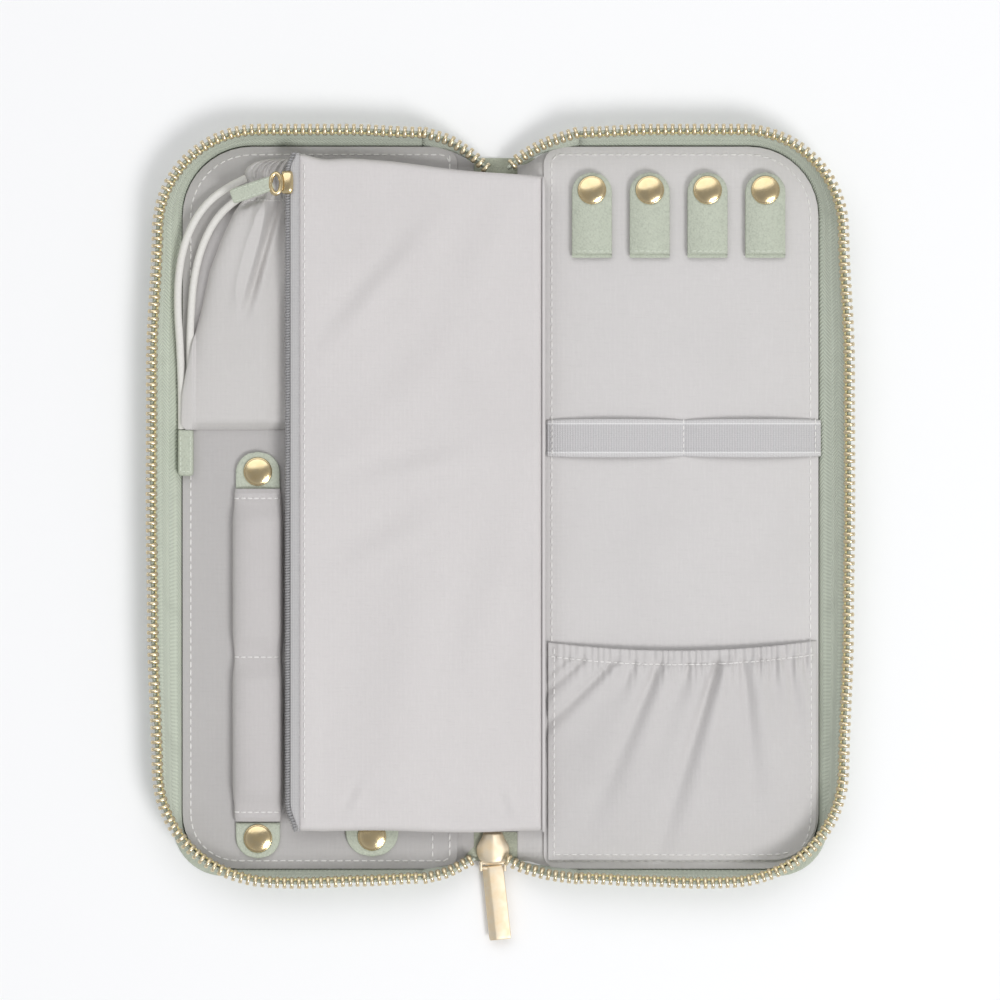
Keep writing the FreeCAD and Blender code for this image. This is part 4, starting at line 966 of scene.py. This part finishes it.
def page_height(x, y, face=1):
    """Height of the page's upper skin, or of its lower one where face is -1; both meet along a rounded rim."""
    top, foot = page_top_edge(x), page_foot_edge(x)
    u, v = (x - PAGE_LEFT) / (PAGE_RIGHT - PAGE_LEFT), (top - y) / (top - foot)
    rim = min(v * PAGE_LENGTH, (1 - v) * PAGE_LENGTH, (1 - u) * PAGE_WIDTH + 0.35, u * PAGE_WIDTH + 0.35)
    puff = PAGE_PUFF * math.sqrt(max(1.0 - max(0.0, 1.0 - rim / 3.2) ** 2, 0.0))
    relief = page_relief(x, y) * ease(rim / 9.0)
    return PAGE_FRONT + puff + relief if face > 0 else PAGE_BACK - puff + 0.5 * relief


def page_grid(face):
    grid = []
    for v in between(0.0, 1.0, 300):
        places = [(x, mix(page_top_edge(x), page_foot_edge(x), v)) for x in between(PAGE_LEFT, PAGE_RIGHT, 150)]
        grid.append([(x, y, page_height(x, y, face)) for x, y in places])
    return grid


page_obj = closed_skin(page_grid(1), page_grid(-1), turned=True).make(
    "page_pocket_cloth", PAGE_CLOTH, None, "grey_lining",
    "page_front", "page_back", "page_seam_allowance", "page_fold_strip")
run = [(-64.6, y, page_height(-64.6, y) + 0.08) for y in between(112.5, -104.5, 200)]
page_sewn = seam("page_stitches", [run], THREAD, "page", "grey_lining", 2.7, 1.9, 0.25)
metres((3.0, 0.0, 11.75))
metres((-12.0, 0.0, 11.75))
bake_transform(page_obj)

# Piped seam at the spine and the cloth wall under it
tube(Shape(), [(14.2, y, 11.25) for y in between(108.0, PAGE_BOTTOM, 40)], 0.5, 10).make(
    "page_seam_piping", PAGE_CLOTH, "page_seam", "grey_lining", "page_piping")
plate(Shape(), 14.05, 14.75, PAGE_BOTTOM, 108.0, 0.3, 3.5, 10.55, 0.25, 0.0, 3).make(
    "page_seam_wall", LINING, "right_half", "grey_lining", "page_gusset")

# Zip of the page: woven tapes and a fine coil of nylon
finish = Finish("grey_zip_tape", linear(188, 186, 186), 0.75, sheen=0.12, specular=0.2)
where = finish.place()
ribs = finish.wave(where, threads(0.5), "Y", 0.4)
across = finish.wave(where, threads(0.72), "X")
finish.height(ribs, 0.7)
finish.height(across, 0.5)
finish.tint(ribs, linear(160, 160, 162), 0.5, 0.5, 0.0)
finish.tint(across, linear(214, 213, 212), 0.45, 0.5, 1.0)
ZIP_TAPE = finish.done(0.5, 0.0002)
# The coil's grey is darkened to take in the shadow along the zip's edge: partly its own tone, partly painted shade.
finish = Finish("grey_coil_painted_shade", linear(150, 149, 150), 0.38, specular=0.45)
where = finish.place()
finish.height(finish.noise(where, 4.0), 0.5)
finish.tint(finish.noise(where, 0.6), linear(182, 181, 182), 0.5, 0.4, 0.8)
COIL = finish.done(0.1, 0.0002)
COIL_X, COIL_PITCH = -70.1, 0.906


def zip_curve(y):
    """Both ends of the zip turn in towards the page."""
    return 2.6 * ease((-97.0 - y) / 10.6) ** 1.5 + 2.0 * ease((y - 110.0) / 6.0) ** 1.5


# Points round the tape: x, how much of the zip's curve they follow, and z
TAPE_RING = ((-69.3, 1.0, 11.3), (-68.9, 1.0, 11.5), (-67.8, 0.6, 11.42), (-66.2, 0.0, 11.2), (-65.9, 0.0, 9.2),
             (-66.3, 0.0, 8.9), (-67.9, 0.5, 10.3), (-69.2, 1.0, 10.95))
rings = [[(x + share * zip_curve(y), y, z) for x, share, z in TAPE_RING] for y in between(115.9, -107.4, 130)]
Shape().loft(rings).make("page_tape_weave", ZIP_TAPE, "page", "grey_zip", "page_zip_tapes")
coil = Shape()
for k in range(246):
    y = 115.6 - COIL_PITCH * k
    x = COIL_X + zip_curve(y)
    lean = 0.16 if k % 2 else -0.16
    path = [(x - 0.72, y - 0.2, 11.05), (x - 0.45, y - 0.1, 11.62), (x + 0.1 + lean, y, 11.86),
            (x + 0.55, y + 0.12, 11.55), (x + 0.72, y + 0.2, 11.05)]
    tube(coil, path, [0.26, 0.34, 0.36, 0.34, 0.26], 6, up=(0, 1, 0))
tube(coil, [(COIL_X + zip_curve(y), y, 11.2) for y in between(115.8, -107.4, 80)], 0.55, 8)
coil.make("page_coil", COIL, "page", "grey_zip", "page_zip_coil")

# Slider of the page zip: a low saddle, its ring, and the stitched leather pull
arch = mirrored(((1.0, 0.02), (1.0, 0.55), (0.85, 0.88), (0.4, 1.0)))
rings = []
for y, half, high in ((102.4, 1.3, 0.5), (102.8, 1.75, 0.95), (104.0, 2.0, 1.2), (106.5, 2.05, 1.28),
                      (108.6, 1.95, 1.2), (109.5, 1.7, 0.95), (109.9, 1.3, 0.5)):
    rings.append([(-70.2 + half * s, y, 11.77 + high * z) for s, z in arch])
Shape().loft(rings).make("page_slider_body", GOLD, "pocket_slider", "gold_hardware", "pocket_slider")
loop = [(-73.8 + 1.75 * math.cos(turn), 105.6 + 3.3 * math.sin(turn), 14.05) for turn in between(0.0, 2 * math.pi, 48)]
tube(Shape(), loop, 0.75, 12, caps=False).make(
    "pull_ring_wire", GOLD, "pocket_pull", "gold_hardware", "pocket_pull_ring")

PULL_X, PULL_Y, PULL_Z, PULL_TURN = -74.9, 105.9, 13.8, math.radians(19.0)


def pull_point(along, across, z):
    """Along the pull away from the ring, across it, and up, with a little sag towards its end."""
    c, s = math.cos(PULL_TURN), math.sin(PULL_TURN)
    return (PULL_X - along * c - across * s, PULL_Y - along * s + across * c, PULL_Z + z - 0.25 * (along / 12.5) ** 2)


profile = mirrored(((1.0, -0.3), (1.0, 0.3), (0.92, 0.55), (0.75, 0.66)), ((0.0, 0.7),)) + [(0.9, -0.62), (-0.9, -0.62)]
rings = [[pull_point(along, half * s, z) for s, z in profile] for along, half in (
    (0.0, 1.7), (0.3, 2.2), (0.9, 2.4), (7.0, 2.5), (13.2, 2.45), (14.0, 2.25), (14.3, 1.8))]
pull_obj = Shape().loft(rings).make("page_pull_leather", SAGE, "pocket_pull", "sage_leather", "pocket_pull_tab")
runs = [[pull_point(along, side * 1.75, 0.7) for along in between(0.8, 13.4, 6)] for side in (-1, 1)]
pull_sewn = seam("page_pull_stitches", runs, SAGE_THREAD, "pocket_pull", "sage_leather", 1.8, 1.3, 0.17)
for soft in (pull_obj, pull_sewn):
    metres((PULL_X, PULL_Y, PULL_Z))
    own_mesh(soft)

# Drawstring pouch: a soft bag drawn in at its neck, pleats running down from there and a ruffle above.
# Its edges and its height go by y; each pleat has a place across, a depth, a width and a length.
POUCH_FOOT, POUCH_TOP, POUCH_NECK = 24.8, 114.5, 104.5
POUCH_LEFT = ((24.8, -103.9), (26.4, -105.4), (36.0, -105.3), (44.0, -103.9), (51.0, -102.4), (57.0, -100.9),
              (64.4, -99.0), (77.5, -96.2), (88.0, -92.3), (97.0, -88.0), (101.0, -85.2), (104.0, -83.2),
              (106.0, -82.9), (108.2, -84.5), (110.0, -84.8), (111.8, -83.7), (113.2, -81.5), (114.1, -78.6),
              (114.5, -76.4))
POUCH_RIGHT = ((24.8, -35.6), (26.6, -34.3), (46.0, -34.1), (62.0, -45.0), (75.0, -54.0), (88.0, -62.0),
               (97.0, -66.6), (102.0, -68.6), (105.5, -69.2), (109.5, -68.0), (114.5, -66.4))
POUCH_HEIGHT = ((24.8, 7.6), (40.0, 8.8), (62.0, 9.2), (84.0, 9.2), (95.0, 8.6), (101.0, 7.6), (104.6, 6.5),
                (108.5, 8.0), (114.5, 7.2))
PLEATS = ((-0.72, 0.4, 0.1, 12.0), (-0.45, 0.55, 0.1, 14.0), (-0.2, 0.5, 0.09, 10.0), (0.06, 0.6, 0.1, 12.0),
          (0.34, 0.5, 0.09, 9.0), (0.62, 0.45, 0.09, 9.0))
POUCH_CLOTH = cloth("pouch_weave", linear(209, 206, 204))


def over_tape(x, low, high):
    """A height that rises where the pouch lies on the foot of the zip's tape."""
    return mix(low, high, ease((-100.5 - x) / 1.3))


def groove(x, y, first, last, width):
    """Offset from the run from first to last, in widths, and nearness to it, which fades at both of its ends."""
    way = Vector((last[0] - first[0], last[1] - first[1]))
    to = Vector((x - first[0], y - first[1]))
    along = to.dot(way) / way.length_squared
    off = (to.x * way.y - to.y * way.x) / way.length
    return off / width, ease((along + 0.12) / 0.25) * ease((1.08 - along) / 0.5)


def pouch_point(u, y):
    """Place on the upper face: u from -1 at the left edge to 1 at the right one."""
    drop = POUCH_NECK - y
    below = max(drop, 0.0)
    wavy = 0.6 * noise.noise(Vector((y * 0.05, 2.0, 4.0))) * ease(drop / 30.0)
    left, right = (table(y, edge, smooth=False) for edge in (POUCH_LEFT, POUCH_RIGHT))
    x = mix(left, right, 0.5 + 0.5 * u) + wavy * (1 - u * u)
    shape = max(0.0, 1.0 - abs(u) ** 7) ** 0.5 * ease((y - POUCH_FOOT) / 3.6) ** 0.5 * ease((115.3 - y) / 2.0)
    base = over_tape(x, 3.62, 7.05)
    roof = mix(6.3, table(y, POUCH_HEIGHT), ease((-69.5 - x) / 10.0))
    z = base + (roof - base) * shape
    for place, deep, wide, long in PLEATS:
        if drop > long:
            continue
        fade = (1 - drop / long) ** 0.8 if drop >= 0 else 1.25
        off = (u - place - 0.12 * math.sin(place * 7.0) * below / long) / (wide * (1.0 + 0.7 * below / long))
        z += shape * fade * deep * (0.7 * hill(off - 1.25, 0.9) - 0.95 * hill(off, 0.75))
    z -= 0.7 * hill(drop, 1.3) * shape
    off, near = groove(x, y, (-74.0, 100.0), (-84.6, 61.0), 2.0)
    z += shape * near * (2.0 * hill(off - 1.6, 1.3) - 4.2 * hill(off, 0.8) - 1.9 * hill(off + 2.2, 2.0))
    off, near = groove(x, y, (-85.6, 98.6), (-77.0, 102.6), 1.1)
    z += shape * near * (0.5 * hill(off - 1.6, 1.1) - 1.3 * hill(off, 0.8))
    z += 0.35 * noise.noise(Vector((x * 0.07, y * 0.045, 9.0))) * shape
    ceiling = mix(6.55, 9.9, ease((-69.8 - x) / 6.0))
    return (x, y, min(max(z, base), ceiling))


levels = between(POUCH_FOOT, 100.0, 110) + between(100.4, POUCH_TOP, 44)
across = [math.copysign(1 - (1 - abs(u)) ** 1.35, u) for u in between(-1.0, 1.0, 190)]
above = [[pouch_point(u, y) for u in across] for y in reversed(levels)]
below = [[(x, y, over_tape(x, LINING_TOP, 6.9)) for x, y, z in row] for row in above]
pouch_obj = closed_skin(above, below).make("pouch_cloth", POUCH_CLOTH, "left_half", "pouch_cloth", "drawstring_pouch")
run = raised([pouch_point(u, 100.6) for u in between(-0.93, 0.93, 60)], 0.05)
channel_sewn = seam("pouch_stitches", [run], THREAD, "left_half", "pouch_cloth", 1.3, 0.9, 0.17)

# The two ends of its drawstring and the leather tab that holds them
OUTER_ROUTE = ((-84.1, 108.0, 5.05), (-91.0, 104.8, 5.85), (-98.5, 98.2, 6.85), (-103.6, 88.8, 7.85),
               (-106.2, 77.5, 8.25), (-106.6, 65.0, 7.65), (-105.9, 53.5, 6.45), (-105.5, 42.5, 5.45),
               (-105.35, 33.0, 5.05), (-105.35, 25.0, 5.05))
INNER_ROUTE = ((-83.1, 103.4, 5.05), (-88.6, 100.2, 5.25), (-94.6, 94.0, 5.05), (-98.9, 85.2, 5.25),
               (-101.4, 75.0, 5.05), (-102.3, 64.0, 5.25), (-102.7, 53.0, 5.05), (-102.5, 42.5, 5.15),
               (-102.65, 33.0, 5.05), (-102.65, 25.0, 5.05))
finish = Finish("white_cord", linear(226, 224, 219), 0.85, sheen=0.2, specular=0.15)
where = finish.place()
finish.height(finish.wave(finish.place(turn=0.7), threads(0.7), "X", 1.5), 0.3)
finish.height(finish.noise(where, 3.0), 0.5)
finish.tint(finish.noise(where, 1.2), linear(206, 204, 199), 0.5, 0.5, 0.8)
CORD = finish.done(0.3, 0.0002)


def drawstring(name, route, node):
    curve = bpy.data.curves.new(name, "CURVE")
    curve.dimensions, curve.bevel_depth, curve.bevel_resolution = "3D", 0.00125, 4
    spline = curve.splines.new("NURBS")
    spline.points.add(len(route) - 1)
    for point, place in zip(spline.points, route):
        point.co = metres(place) + (1.0,)
    spline.order_u = 3
    spline.use_endpoint_u = True
    spline.resolution_u = 12
    curve.use_fill_caps = True
    curve.materials.append(CORD)
    obj = bpy.data.objects.new(name, curve)
    scene.collection.objects.link(obj)
    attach(obj, "left_half")
    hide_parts(node)
    metres(route[0])


drawstring("outer_drawstring", OUTER_ROUTE, "drawstring_outer")
drawstring("inner_drawstring", INNER_ROUTE, "drawstring_inner")
TAB_RADII, TAB_SEWN = (1.2, 1.2, 0.6, 0.6), 7.08
tab = plate(Shape(), -106.5, -101.5, 9.6, 25.0, TAB_RADII, LINING_TOP, 5.2, 0.45, 0.0, 5)
plate(tab, -106.45, -101.55, 9.75, 24.8, TAB_RADII, 5.25, 7.1, 0.6, 0.4, 5)
tab.make("cord_tab_leather", SAGE, "left_half", "sage_leather", "drawstring_tab")
tab_sewn = Shape()
for x in (-105.6, -102.4):
    stitches(tab_sewn, [(x, y, TAB_SEWN) for y in between(11.0, 23.6, 8)], 1.7, 1.2, 0.18)
stitches(tab_sewn, [(x, 11.0, TAB_SEWN) for x in between(-105.4, -102.6, 3)], 1.5, 1.1, 0.18)
tab_sewn.make("cord_tab_stitches", SAGE_THREAD, "left_half", "sage_leather")

# Pale floor that the case lies on
FLOOR_REACH, FLOOR_Z = 1600, -0.05
finish = Finish("floor", (0.93, 0.93, 0.935, 1.0), 0.9, specular=0.1)
finish.height(finish.noise(finish.place(), 0.4, 2.0), 0.2)
corners = [(x * FLOOR_REACH, y * FLOOR_REACH, FLOOR_Z) for x, y in ((-1, -1), (1, -1), (1, 1), (-1, 1))]
floor = Shape().add(corners, [(0, 1, 2, 3)]).make("floor", finish.done(0.02, 0.0002), None, None)

bpy.context.view_layer.update()
